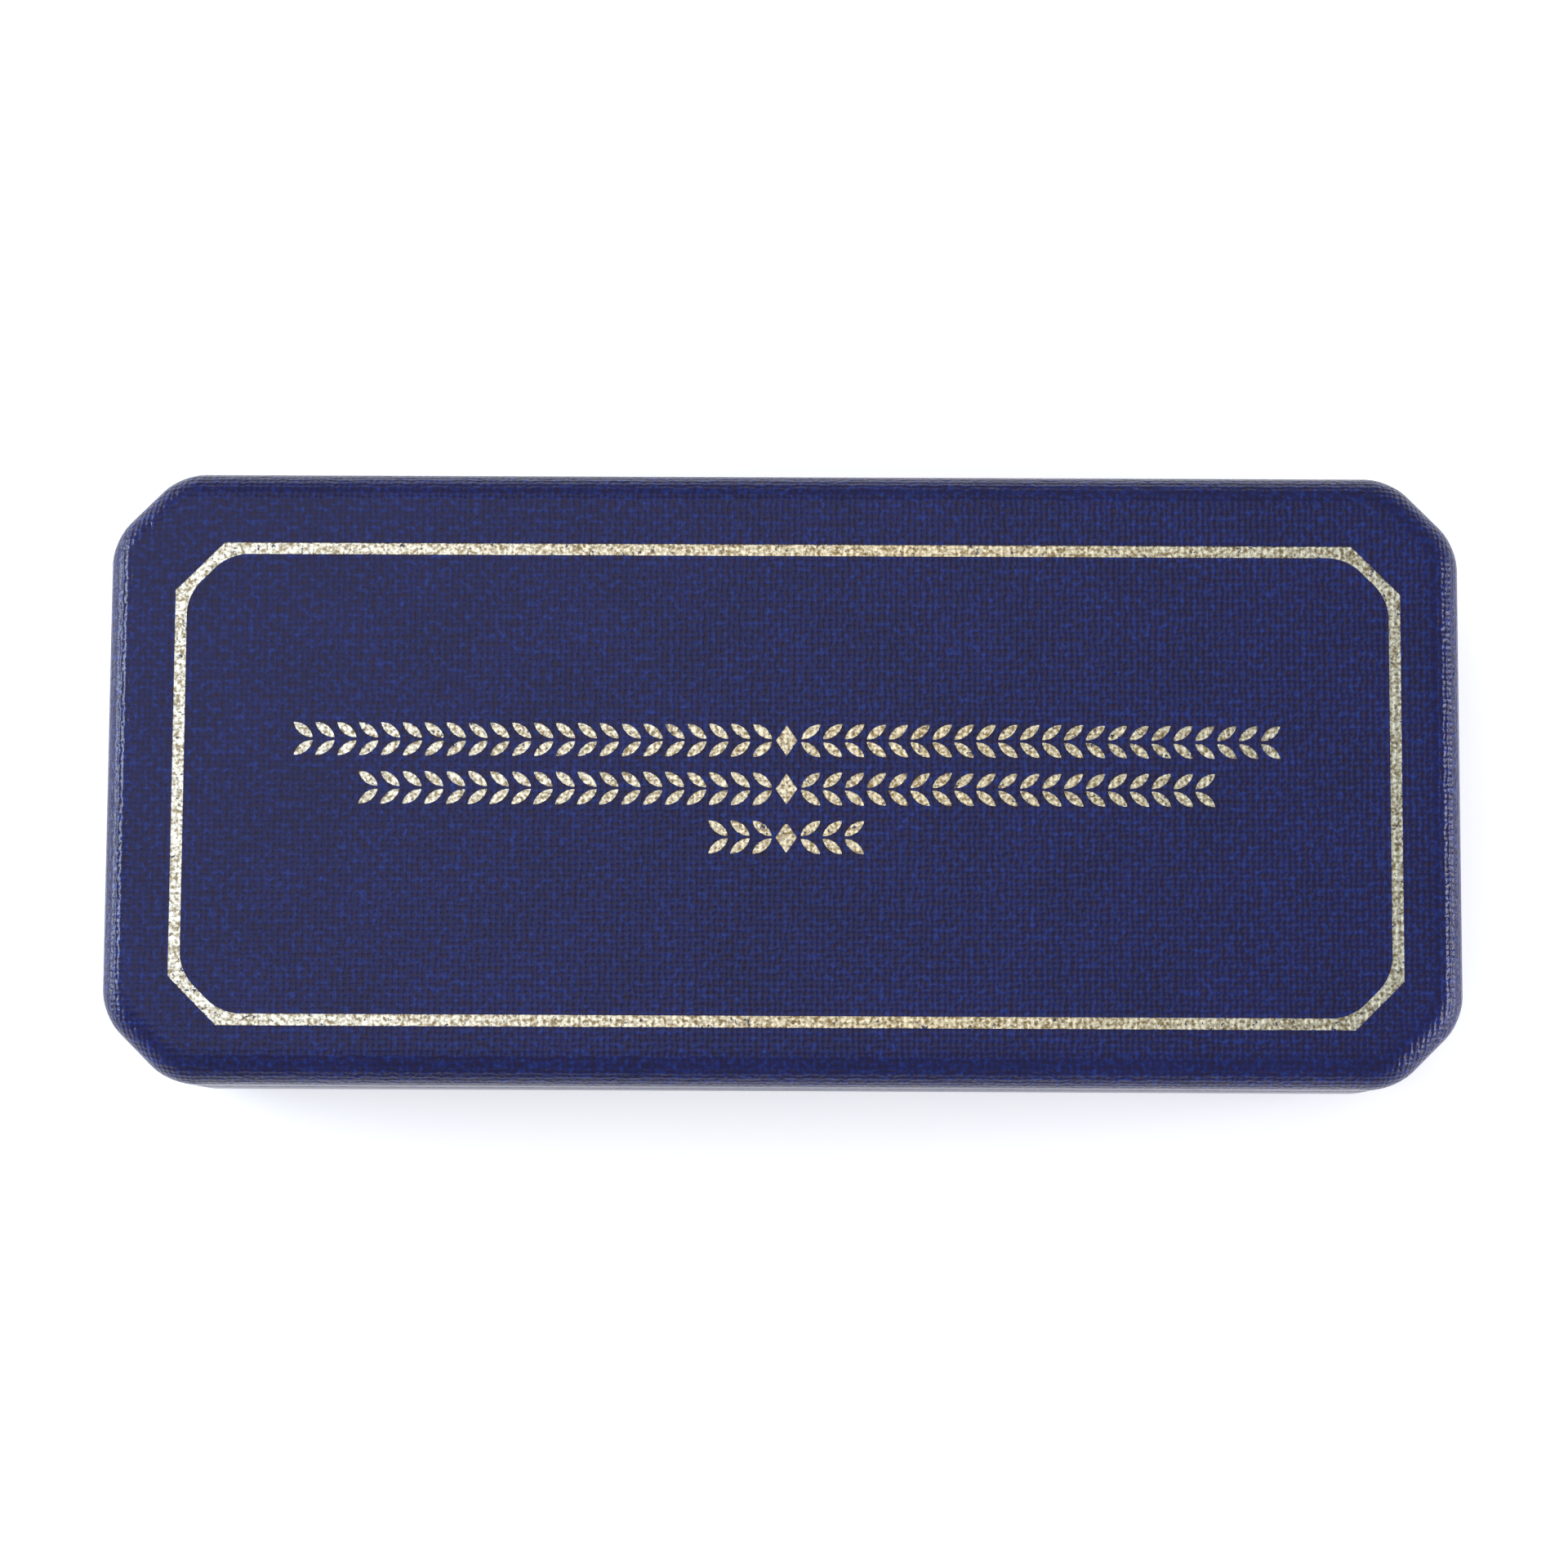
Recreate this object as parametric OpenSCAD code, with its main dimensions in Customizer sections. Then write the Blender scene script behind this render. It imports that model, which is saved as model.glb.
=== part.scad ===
// Presentation case for a service medal: a long hinged box with cut corners, covered in leathercloth
// and blocked with foil, lined with satin and velvet, holding a medal on its ribbon and brooch bar.
// The origin is at the middle of the underside. +X is the length, -Y is the opening side, +Z is up.

/* [Case] */
// Length of the closed case
case_l = 140; // [128:1:180]
// Depth of the closed case, from the opening side to the hinge side
case_w = 63.5; // [56:0.5:90]
// Height of the base, up to its rim
base_h = 12; // [11.5:0.5:20]
// Height of the lid, from its rim to its top
lid_h = 10; // [9:0.5:18]
// Gap between the two rims when the lid is shut
seam_gap = 0.3; // [0.2:0.05:0.6]
// Leg of the cut across each corner
corner_cut = 7; // [6.5:0.5:12]
// Rounding where a corner cut meets a side
corner_r = 6; // [3:0.5:8]
// Roll of the lid's top edge
lid_roll = 3.6; // [2.6:0.2:4]
// Roll of the base's bottom edge
base_roll = 2.6; // [2.4:0.2:3]

/* [Walls] */
// Thickness of the moulded shells
shell_t = 1.6; // [1.4:0.1:1.8]
// Thickness of the leathercloth
cover_t = 0.6; // [0.4:0.05:0.7]
// Depth that the leathercloth is turned in over each rim
turn_in = 4; // [3:0.5:5]
// Width that the leathercloth is tucked under the base
tuck = 9; // [6:0.5:11]
// Thickness of the sheet glued under the base
sheet_t = 0.5; // [0.3:0.1:0.8]
// Thickness of the collar that locates the lid
collar_t = 0.9; // [0.7:0.1:1.1]
// Height that the collar stands above the base's rim
collar_rise = 2; // [1:0.25:2.25]
// Clearance between pieces that go into each other
fit_gap = 0.2; // [0.1:0.05:0.3]

/* [Hinge] */
// Length of the hinge
hinge_l = 100; // [80:2:110]
// Number of knuckles, an odd number
knuckles = 9; // [5:2:13]
// Radius of the hinge barrel
barrel_r = 1; // [0.9:0.05:1.1]
// Radius of the hinge pin
pin_r = 0.5; // [0.4:0.05:0.6]
// Distance of the hinge pin behind the middle of the rim's rounding
pin_out = 0.65; // [0.6:0.05:0.7]
// Thickness of the hinge leaves
leaf_t = 0.7; // [0.5:0.05:0.8]
// Gap between a hinge leaf's free edge and the inside corner of its shell
leaf_gap = 0.3; // [0.1:0.1:1]
// Radius of the rivet shanks
rivet_r = 0.8; // [0.6:0.05:1]
// Radius of the snap spring's wire
wire_r = 0.4; // [0.3:0.05:0.45]
// Height above or below the hinge pin at which a snap spring's ends enter the leaves
spring_reach = 2.8; // [2.4:0.1:3]

/* [Foil] */
// Distance of the foil border inside the edge of the lid
border_inset = 6.8; // [5.5:0.1:9]
// Distances that the foil was stamped off the lid's middle
stamp_off = [0.35, -0.85];
// Width of the foil border
border_w = 1.2; // [0.8:0.1:2]
// Leg of the border's corner cuts
border_cut = 5; // [3.5:0.1:6]
// Rounding of the border's inner corners
border_r = 4.5; // [1:0.5:5]
// Thickness that the foil stands on the cloth
foil_t = 0.06; // [0.04:0.01:0.1]
// Lengths of the three ornament rows, from the top one
row_lengths = [102.4, 87.4, 17];
// Height of the ornament rows
row_h = 3.2; // [2.4:0.1:4]
// Distance between the ornament rows
row_pitch = 5; // [4.2:0.1:6]
// Distance of the middle row below the stamp's middle
row_drop = 0.45; // [-1:0.05:1]
// Distance between the leaf pairs in a row
leaf_pitch = 2.25; // [2:0.05:3]

/* [Lining] */
// Thickness of the boards
board_t = 1; // [0.8:0.1:1.4]
// Thickness of the velvet
velvet_t = 0.6; // [0.4:0.05:0.8]
// Thickness of the satin
satin_t = 0.35; // [0.25:0.05:0.5]
// Gap between the medal and the lid's pad when the case is shut
pad_gap = 2.2; // [1.6:0.1:2.6]
// Height of the bed's top above the base's rim
bed_rise = 0.6; // [0:0.1:1]
// Room round the medal in its bed
bed_gap = 0.8; // [0.4:0.1:1.5]

/* [Medal] */
// Diameter of the medal
disc_d = 36; // [32:1:40]
// Thickness of the medal at its rim
disc_t = 3; // [2.6:0.1:3.2]
// Width of the medal's raised rim
disc_rim = 1.2; // [0.8:0.1:2]
// Depth that the field lies below the rim
disc_sink = 0.45; // [0.3:0.05:0.6]
// Width of the ribbon
ribbon_w = 32; // [28:1:36]
// Length of the ribbon between its two bars
ribbon_l = 43; // [36:1:48]
// Thickness of the ribbon
ribbon_t = 0.45; // [0.35:0.05:0.5]
// Radius of the two bars that the ribbon goes round
bar_r = 0.8; // [0.7:0.05:0.9]

/* [Hidden] */
$fn = 48;

// Heights
lid_z = base_h + seam_gap;
top_z = lid_z + lid_h;
cloth_z = sheet_t;
shell_z = cloth_z + cover_t;
floor_z = shell_z + shell_t;
ceiling_z = top_z - cover_t - shell_t;
collar_z = base_h + collar_rise;
bed_z = base_h + bed_rise;

// Insets from the case's outline
wall_in = cover_t + shell_t;
cloth_in = wall_in + cover_t;
collar_in = cloth_in + 2 * fit_gap;
bed_in = collar_in + collar_t + fit_gap / 2;
pad_in = cloth_in + fit_gap;
rim_r = cloth_in / 2;

// Hinge and springs
axis_y = case_w / 2 - rim_r + pin_out;
axis_z = base_h + seam_gap / 2;
relief_r = barrel_r + 0.5;
leaf_y = case_w / 2 - wall_in;
leaf_face_y = leaf_y - leaf_t;
web_low = 0.25;
shell_fillet = 1;
leaf_low_z = floor_z + shell_fillet + leaf_gap;
leaf_high_z = ceiling_z - shell_fillet - leaf_gap;
web_high = barrel_r - 0.15;
knuckle_gap = 0.15;
knuckle_l = hinge_l / knuckles;
hinge_room = hinge_l + 2;
rivet_z_base = (leaf_low_z + axis_z) / 2 - 0.8;
rivet_z_lid = (leaf_high_z + axis_z) / 2 + 0.8;
rivet_xs = [for (k = [-3, -1, 1, 3]) k * hinge_l / 7.2];
rivet_head_r = rivet_r + 0.7;
rivet_head_t = 0.5;
hole_gap = 0.05;
spring_x = hinge_l / 3.6;
spring_bow_y = leaf_face_y - 0.3;
slot_half = wire_r + 0.5;

// Medal, laid along X with its ribbon towards -X
disc_r = disc_d / 2;
seat_depth = disc_t - disc_sink;
seat_z = bed_z - seat_depth;
mid_z = seat_z + disc_t / 2;
claw_w = 9;
claw_cheek = 0.7;
claw_grip = 2.6;
claw_out = 2.4;
stem_r = 0.9;
boss_r = 1.7;
suspender_t = 1.8;
arm_start = claw_out + 0.3;
boss_l = 2.6;
rail_start = 7.6;
rail_w = 1.7;
slot_w = 2.2;
bar_at = rail_start + rail_w + slot_w + bar_r;
cheek_w = 1.3;
side_room = 0.4;
suspender_w = ribbon_w + 2 * (side_room + cheek_w);
medal_l = disc_d + bar_at + ribbon_l + ribbon_t + bar_r + 0.2;
disc_x = medal_l / 2 - disc_r;
bar_x = disc_x - disc_r - bar_at;
brooch_x = bar_x - ribbon_l;
ribbon_in_r = bar_r + 0.1;
ribbon_out_r = ribbon_in_r + ribbon_t;

// Brooch, under the end of the ribbon
plate_t = 0.8;
plate_w = 5;
plate_z = mid_z - ribbon_out_r - 0.1 - plate_t;
needle_r = 0.4;
needle_z = plate_z - 1.2;
needle_x = brooch_x + plate_w / 2 - bar_r;
ear_y = ribbon_w / 2 - 3;
ear_t = 0.6;
ear_x = 0.9;
rivet_pin_r = 0.35;
brooch_floor_z = needle_z - 1.3;

// Lid's pad
pad_z = mid_z + claw_cheek + disc_t / 2 + pad_gap;
pad_roll = 1.6;
pad_crown = 0.5;
pad_flat_in = 16;
board_z = ceiling_z - board_t;
pad_back = leaf_t + rivet_head_t + 2 * fit_gap;

// Outline of the case at an inset: an octagon with long sides, each vertex rounded by the same number of
// points at every inset. back is how much further in the hinge side lies.
arc_steps = 4;
function cut_leg(inset) = max(0.05, corner_cut - inset * (2 - sqrt(2)));
function vertex_arc(c, r, from) = [for (k = [0:arc_steps]) c + r * [cos(from + 45 * k / arc_steps),
                                                                     sin(from + 45 * k / arc_steps)]];
function quarter(a, b, leg, r) = concat(vertex_arc([a - r, b - r - leg], r, 0),
                                        vertex_arc([a - r - leg, b - r], r, 45));
function reversed(v) = [for (k = [len(v) - 1:-1:0]) v[k]];
function flipped(v, sx, sy) = [for (p = v) [sx * p.x, sy * p.y]];
function around(q) = concat(q, reversed(flipped(q, -1, 1)), flipped(q, -1, -1), reversed(flipped(q, 1, -1)));
function outline(inset, back = 0) =
    let (r = max(0.5, corner_r - inset),
         q = quarter(case_l / 2 - inset, (case_w - back) / 2 - inset, cut_leg(inset + r), r))
    [for (p = around(q)) p - [0, back / 2]];

// Quarter or half turn of a profile of [inset, z] points about a centre
function bend(centre, r, from, to, steps = 4) =
    [for (k = [0:steps]) let (a = from + (to - from) * k / steps) centre + r * [cos(a), sin(a)]];

function rings(profile, back) = [for (p = profile) each [for (q = outline(p[0], back)) [q.x, q.y, p[1]]]];
function band(a, b, n) =
    [for (k = [0:n - 1]) let (next = (k + 1) % n) [a * n + k, a * n + next, b * n + next, b * n + k]];

// Solid between the first and the last ring of a profile, which are closed by flat faces
module loft(profile, back = 0) {
    n = len(outline(0));
    m = len(profile);
    polyhedron(points = rings(profile, back),
               faces = concat([[for (k = [n - 1:-1:0]) k]],
                              [for (j = [0:m - 2]) each band(j, j + 1, n)],
                              [[for (k = [0:n - 1]) (m - 1) * n + k]]));
}

// Solid of a closed profile carried once round the case
module wrap(profile) {
    n = len(outline(0));
    m = len(profile);
    polyhedron(points = rings(profile, 0),
               faces = [for (j = [0:m - 1]) each band(j, (j + 1) % m, n)]);
}

// Flat sheet of the case's outline
module slab(inset, z0, z1, back = 0) {
    translate([0, 0, z0]) linear_extrude(z1 - z0) polygon(outline(inset, back));
}

// Room for the hinge's barrel, webs and leaves in both rims
module hinge_relief() {
    along_pin() cylinder(r = relief_r, h = hinge_room, center = true);
    translate([-hinge_room / 2, leaf_face_y - fit_gap, axis_z - relief_r])
        cube([hinge_room, axis_y - leaf_face_y + fit_gap, 2 * relief_r]);
    translate([-hinge_room / 2, leaf_face_y - fit_gap, axis_z - relief_r - turn_in])
        cube([hinge_room, leaf_t + fit_gap, 2 * relief_r + 2 * turn_in]);
}

module rivet_holes(z) {
    for (x = rivet_xs)
        translate([x, leaf_face_y - 1, z]) rotate([-90, 0, 0])
            cylinder(r = rivet_r + hole_gap, h = leaf_t + shell_t + 2);
}

// ---- Base ----

module base_shell() {
    color("dimgray") difference() {
        loft(concat(bend([base_roll, cloth_z + base_roll], base_roll - cover_t, 270, 180),
                    bend([rim_r, base_h - rim_r], shell_t / 2, 180, 0, 6),
                    bend([wall_in + shell_fillet, floor_z + shell_fillet], shell_fillet, 180, 270, 2)));
        hinge_relief();
        rivet_holes(rivet_z_base);
    }
}

module base_cover() {
    color("midnightblue") difference() {
        wrap(concat([[tuck, shell_z], [tuck, cloth_z]],
                    bend([base_roll, cloth_z + base_roll], base_roll, 270, 180),
                    bend([rim_r, base_h - rim_r], rim_r, 180, 0, 6),
                    [[cloth_in, base_h - turn_in], [wall_in, base_h - turn_in]],
                    bend([rim_r, base_h - rim_r], shell_t / 2, 0, 180, 6),
                    bend([base_roll, cloth_z + base_roll], base_roll - cover_t, 180, 270)));
        hinge_relief();
    }
}

module base_tuck_filler() {
    color("burlywood") slab(tuck, cloth_z, shell_z);
}

module base_underlay() {
    color("midnightblue") slab(base_roll + 0.8, 0, sheet_t);
}

module base_collar() {
    color("midnightblue") difference() {
        slab(collar_in, floor_z, collar_z);
        slab(collar_in + collar_t, floor_z - 1, collar_z + 1);
        translate([-hinge_room / 2, 0, floor_z - 1]) cube([hinge_room, case_w, collar_z]);
    }
}

// ---- Bed ----

module bed_board() {
    color("burlywood") slab(bed_in + velvet_t, floor_z, floor_z + board_t);
}

// Pockets for the medal, its claw, its suspender and ribbon, the brooch and the springs, larger by skin
module pockets(skin) {
    up = 5;
    half = suspender_w / 2 + bed_gap + skin;
    low = seat_z - skin;
    left = brooch_x - ribbon_out_r - bed_gap - skin;
    translate([disc_x, 0, low]) cylinder(r = disc_r + bed_gap + skin, h = seat_depth + up);
    translate([left, -half, low])
        cube([bar_x + bar_at - rail_start + bed_gap + skin - left, 2 * half, seat_depth + up]);
    translate([disc_x - disc_r, 0, low]) linear_extrude(seat_depth + up)
        polygon([[-rail_start, -half], [claw_grip, -half * 0.45],
                 [claw_grip, half * 0.45], [-rail_start, half]]);
    translate([bar_x, -claw_w / 2 - bed_gap - skin, mid_z - disc_t / 2 - claw_cheek - fit_gap - skin])
        cube([bar_at + claw_grip + bed_gap + skin, claw_w + 2 * bed_gap + 2 * skin, seat_depth + up]);
    translate([left, -half, brooch_floor_z - skin])
        cube([plate_w + 2 * bed_gap + 2 * skin + 1, 2 * half, bed_z - brooch_floor_z + up]);
    for (s = [-1, 1])
        translate([s * spring_x - slot_half - skin, spring_bow_y - spring_reach - slot_half - skin,
                   axis_z - spring_reach - slot_half - skin])
            cube([2 * (slot_half + skin), case_w, case_w]);
}

module bed_foam() {
    color("lightgray") difference() {
        slab(bed_in + velvet_t, floor_z + board_t, bed_z - velvet_t);
        pockets(velvet_t);
    }
}

module bed_velvet() {
    color("navy") difference() {
        slab(bed_in, floor_z, bed_z);
        difference() {
            slab(bed_in + velvet_t, floor_z - 1, bed_z - velvet_t);
            pockets(velvet_t);
        }
        pockets(0);
    }
}

// ---- Hinge ----

module along_pin() {
    translate([0, axis_y, axis_z]) rotate([0, 90, 0]) children();
}

// One leaf between two heights, with every second knuckle from the first one; up is 1 for the lid's
module hinge_leaf(up, low, high, first, rivet_z) {
    difference() {
        union() {
            translate([-hinge_l / 2, leaf_face_y, low]) cube([hinge_l, leaf_t, high - low]);
            for (k = [first:2:knuckles - 1])
                translate([-hinge_l / 2 + k * knuckle_l + knuckle_gap / 2, 0, 0])
                    knuckle(up, knuckle_l - knuckle_gap);
        }
        along_pin() cylinder(r = pin_r + hole_gap, h = hinge_l + 2, center = true);
        rivet_holes(rivet_z);
        for (s = [-1, 1])
            translate([s * spring_x, leaf_face_y - 1, axis_z + up * spring_reach])
                rotate([-90, 0, 0]) cylinder(r = wire_r + hole_gap, h = leaf_t + 2);
    }
}

module knuckle(up, l) {
    translate([0, axis_y, axis_z]) rotate([0, 90, 0]) cylinder(r = barrel_r, h = l);
    translate([0, leaf_face_y, up > 0 ? axis_z + web_low : axis_z - web_high])
        cube([l, axis_y - leaf_face_y, web_high - web_low]);
}

module hinge_leaf_base() {
    color("lightsteelblue") hinge_leaf(-1, leaf_low_z, axis_z - web_low, 0, rivet_z_base);
}

module hinge_leaf_lid() {
    color("lightsteelblue") hinge_leaf(1, axis_z + web_low, leaf_high_z, 1, rivet_z_lid);
}

module hinge_pin() {
    color("silver") along_pin() cylinder(r = pin_r, h = hinge_l, center = true);
}

module hinge_rivets(z) {
    for (x = rivet_xs)
        translate([x, leaf_face_y - rivet_head_t, z]) rotate([-90, 0, 0]) {
            cylinder(r = rivet_head_r, h = rivet_head_t);
            cylinder(r = rivet_r, h = rivet_head_t + leaf_t + shell_t - hole_gap);
        }
}

module hinge_rivets_base() {
    color("silver") hinge_rivets(rivet_z_base);
}

module hinge_rivets_lid() {
    color("silver") hinge_rivets(rivet_z_lid);
}

// Bow of spring wire that stands into the case, with its ends hooked through both leaves
module snap_spring(side) {
    color("gainsboro") translate([side * spring_x, spring_bow_y, axis_z]) {
        rotate([0, 90, 0]) rotate([0, 0, 180]) rotate_extrude(angle = 180)
            translate([spring_reach, 0]) circle(r = wire_r);
        for (s = [-1, 1]) translate([0, 0, s * spring_reach]) rotate([-90, 0, 0])
            cylinder(r = wire_r, h = leaf_y - spring_bow_y);
    }
}

module snap_spring_left() {
    snap_spring(-1);
}

module snap_spring_right() {
    snap_spring(1);
}

// ---- Medal ----

// Star of n points with its first point along +X
module star(n, r_out, r_in) {
    polygon([for (k = [0:2 * n - 1]) (k % 2 == 0 ? r_out : r_in) * [cos(180 * k / n), sin(180 * k / n)]]);
}

module claw_rivet_places() {
    for (s = [-1, 1]) translate([disc_x - disc_r + claw_grip / 2, s * (claw_w / 2 - 1.6), mid_z]) children();
}

module medal_disc() {
    sink = disc_t / 2 - disc_sink;
    color("silver") difference() {
        union() {
            translate([disc_x, 0, mid_z]) cylinder(r = disc_r, h = 2 * sink, center = true);
            translate([disc_x, 0, mid_z]) difference() {
                cylinder(r = disc_r, h = disc_t, center = true);
                cylinder(r = disc_r - disc_rim, h = disc_t + 1, center = true);
            }
            translate([disc_x, 0, mid_z]) linear_extrude(sink + 0.35) star(8, disc_r * 0.42, disc_r * 0.18);
        }
        claw_rivet_places() cylinder(r = 0.5 + hole_gap, h = disc_t + 2, center = true);
    }
}

module medal_claw() {
    x0 = disc_x - disc_r - claw_out;
    thick = disc_t + 2 * claw_cheek;
    color("silver") difference() {
        union() {
            translate([x0, -claw_w / 2, mid_z - thick / 2]) cube([claw_out + claw_grip / 2, claw_w, thick]);
            claw_rivet_places() cylinder(r = 1.6, h = thick, center = true);
        }
        translate([disc_x, 0, mid_z])
            cylinder(r = disc_r + hole_gap, h = disc_t + 2 * hole_gap, center = true);
        claw_rivet_places() cylinder(r = 0.5 + hole_gap, h = thick + 2, center = true);
        translate([x0 - 1, 0, mid_z]) rotate([0, 90, 0]) cylinder(r = stem_r + hole_gap, h = 2.6);
    }
}

module claw_rivets() {
    color("silver") claw_rivet_places() cylinder(r = 0.5, h = disc_t + 2 * claw_cheek + 0.1, center = true);
}

module swivel_pin() {
    x_in = disc_x - disc_r - claw_out + 1.5;
    x_out = disc_x - disc_r - arm_start - boss_l;
    color("silver") translate([x_out, 0, mid_z]) rotate([0, 90, 0]) {
        cylinder(r = stem_r, h = x_in - x_out);
        translate([0, 0, -0.6]) cylinder(r = stem_r + 0.5, h = 0.6);
    }
}

// Half of the suspender's swept arm, as [distance out from the medal's edge, distance from its middle]
function arm_curve(u0, v0, u1, v1) = [for (t = [0:0.125:1]) [u0 + (u1 - u0) * t * t, v0 + (v1 - v0) * t]];

module arm_plate() {
    outer = arm_curve(arm_start + 1, boss_r, rail_start, suspender_w / 2);
    inner = arm_curve(arm_start + boss_l, boss_r, rail_start, suspender_w * 0.36);
    difference() {
        for (s = [-1, 1])
            polygon(flipped(concat([[arm_start + 1, 0]], outer, [[rail_start, 0]]), 1, s));
        for (s = [-1, 1])
            polygon(flipped(concat([[arm_start + boss_l, -0.1]], inner, [[rail_start, -0.1]]), 1, s));
    }
}

module suspender() {
    edge_x = disc_x - disc_r;
    color("silver") difference() {
        translate([edge_x, 0, mid_z]) mirror([1, 0, 0]) {
            translate([0, 0, -suspender_t / 2]) linear_extrude(suspender_t) arm_plate();
            translate([arm_start, 0, 0]) rotate([0, 90, 0]) cylinder(r = boss_r, h = boss_l);
            translate([rail_start, -suspender_w / 2, -suspender_t / 2])
                cube([rail_w, suspender_w, suspender_t]);
            for (s = [-1, 1])
                translate([rail_start, s * (suspender_w - cheek_w) / 2 - cheek_w / 2, -suspender_t / 2])
                    cube([bar_at - rail_start, cheek_w, suspender_t]);
            translate([bar_at, suspender_w / 2, 0]) rotate([90, 0, 0]) cylinder(r = bar_r, h = suspender_w);
        }
        translate([edge_x - arm_start - boss_l - 1, 0, mid_z]) rotate([0, 90, 0])
            cylinder(r = stem_r + hole_gap, h = boss_l + 2);
    }
}

// Belt of ribbon round the suspender's bar and the brooch's bar
module belt(r) {
    translate([bar_x, 0]) circle(r = r);
    translate([brooch_x, 0]) circle(r = r);
    translate([brooch_x, -r]) square([ribbon_l, 2 * r]);
}

module ribbon() {
    color("darkgreen") translate([0, ribbon_w / 2, mid_z]) rotate([90, 0, 0]) linear_extrude(ribbon_w)
        difference() {
            belt(ribbon_out_r);
            belt(ribbon_in_r);
        }
}

module brooch_bar() {
    color("gold") {
        translate([brooch_x, suspender_w / 2, mid_z]) rotate([90, 0, 0]) cylinder(r = bar_r, h = suspender_w);
        translate([brooch_x - bar_r, -suspender_w / 2, plate_z]) cube([plate_w, suspender_w, plate_t]);
        for (s = [-1, 1])
            translate([brooch_x - bar_r / 2, s * (suspender_w - cheek_w) / 2 - cheek_w / 2, plate_z])
                cube([bar_r, cheek_w, mid_z - plate_z]);
    }
}

module rivet_hole() {
    translate([needle_x, ear_y, needle_z]) rotate([0, 90, 0])
        cylinder(r = rivet_pin_r + hole_gap, h = 6, center = true);
}

module brooch_hinge() {
    color("gold") difference() {
        for (s = [-1, 1])
            translate([needle_x + s * ear_x - ear_t / 2, ear_y - 1.1, needle_z - 0.9])
                cube([ear_t, 2.2, plate_z - needle_z + 0.9]);
        rivet_hole();
    }
}

module brooch_rivet() {
    color("silver") translate([needle_x, ear_y, needle_z]) rotate([0, 90, 0])
        cylinder(r = rivet_pin_r, h = 2 * ear_x + ear_t + 0.2, center = true);
}

module brooch_pin() {
    color("silver") difference() {
        union() {
            translate([needle_x, ear_y, needle_z]) rotate([0, 90, 0]) cylinder(r = 0.8, h = 1, center = true);
            translate([needle_x, 4 - ear_y, needle_z]) rotate([-90, 0, 0])
                cylinder(r = needle_r, h = 2 * ear_y - 4);
            translate([needle_x, -ear_y - 2, needle_z]) rotate([-90, 0, 0])
                cylinder(r1 = 0.1, r2 = needle_r, h = 6);
        }
        rivet_hole();
    }
}

module brooch_catch() {
    color("gold") translate([needle_x, -ear_y + 0.8, needle_z]) rotate([90, 0, 0]) difference() {
        union() {
            cylinder(r = needle_r + 0.7, h = 1.6);
            translate([-needle_r - 0.7, 0, 0]) cube([0.5, plate_z - needle_z, 1.6]);
        }
        translate([0, 0, -1]) cylinder(r = needle_r + 0.2, h = 4);
        translate([0, 0, -1]) cube([3, 3, 4]);
    }
}

// ---- Lid ----

module lid_shell() {
    color("dimgray") difference() {
        loft(concat(bend([wall_in + shell_fillet, ceiling_z - shell_fillet], shell_fillet, 90, 180, 2),
                    bend([rim_r, lid_z + rim_r], shell_t / 2, 360, 180, 6),
                    bend([lid_roll, top_z - lid_roll], lid_roll - cover_t, 180, 90)));
        hinge_relief();
        rivet_holes(rivet_z_lid);
    }
}

module lid_cover() {
    color("midnightblue") difference() {
        loft(concat(bend([lid_roll, top_z - lid_roll], lid_roll - cover_t, 90, 180),
                    bend([rim_r, lid_z + rim_r], shell_t / 2, 180, 360, 6),
                    [[wall_in, lid_z + turn_in], [cloth_in, lid_z + turn_in]],
                    bend([rim_r, lid_z + rim_r], rim_r, 360, 180, 6),
                    bend([lid_roll, top_z - lid_roll], lid_roll, 180, 90, 6)));
        hinge_relief();
    }
}

// Foil of a flat shape that is drawn about the stamp's own middle
module stamp() {
    translate([stamp_off.x, stamp_off.y, top_z]) linear_extrude(foil_t) children();
}

module foil_border() {
    a = case_l / 2 - border_inset;
    b = case_w / 2 - border_inset;
    inner_leg = max(0.05, border_cut - (border_w + border_r) * (2 - sqrt(2)));
    color("khaki") stamp() difference() {
        polygon(around([[a, b - border_cut], [a - border_cut, b]]));
        polygon(around(quarter(a - border_w, b - border_w, inner_leg, border_r)));
    }
}

// A laurel leaf with its stalk at the origin, pointing along +X
module laurel_leaf(l, w) {
    polygon(concat([for (t = [-1:0.4:1]) [l * (t + 1) / 2, w / 2 * (1 - t * t)]],
                   [for (t = [0.6:-0.4:-0.6]) [l * (t + 1) / 2, -w / 2 * (1 - t * t)]]));
}

// A row of leaf pairs running out to both sides from a lozenge; place is 1 for the top row, -1 for the last
module laurel_row(length, place) {
    lean = 38;
    first = 1.5;
    leaf_l = row_h * 0.78;
    pairs = 1 + round((length / 2 - first - leaf_l * cos(lean)) / leaf_pitch);
    color("khaki") stamp() translate([0, place * row_pitch - row_drop]) {
        polygon([[1.1, 0], [0, row_h / 2], [-1.1, 0], [0, -row_h / 2]]);
        for (k = [0:pairs - 1], side = [-1, 1], s = [-1, 1])
            translate([side * (first + k * leaf_pitch), s * 0.15])
                rotate(side > 0 ? s * lean : 180 - s * lean) laurel_leaf(leaf_l, row_h * 0.3);
    }
}

module foil_row_top() {
    laurel_row(row_lengths[0], 1);
}

module foil_row_middle() {
    laurel_row(row_lengths[1], 0);
}

module foil_row_bottom() {
    laurel_row(row_lengths[2], -1);
}

module lid_board() {
    color("burlywood") slab(pad_in + satin_t, board_z, ceiling_z, pad_back);
}

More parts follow.
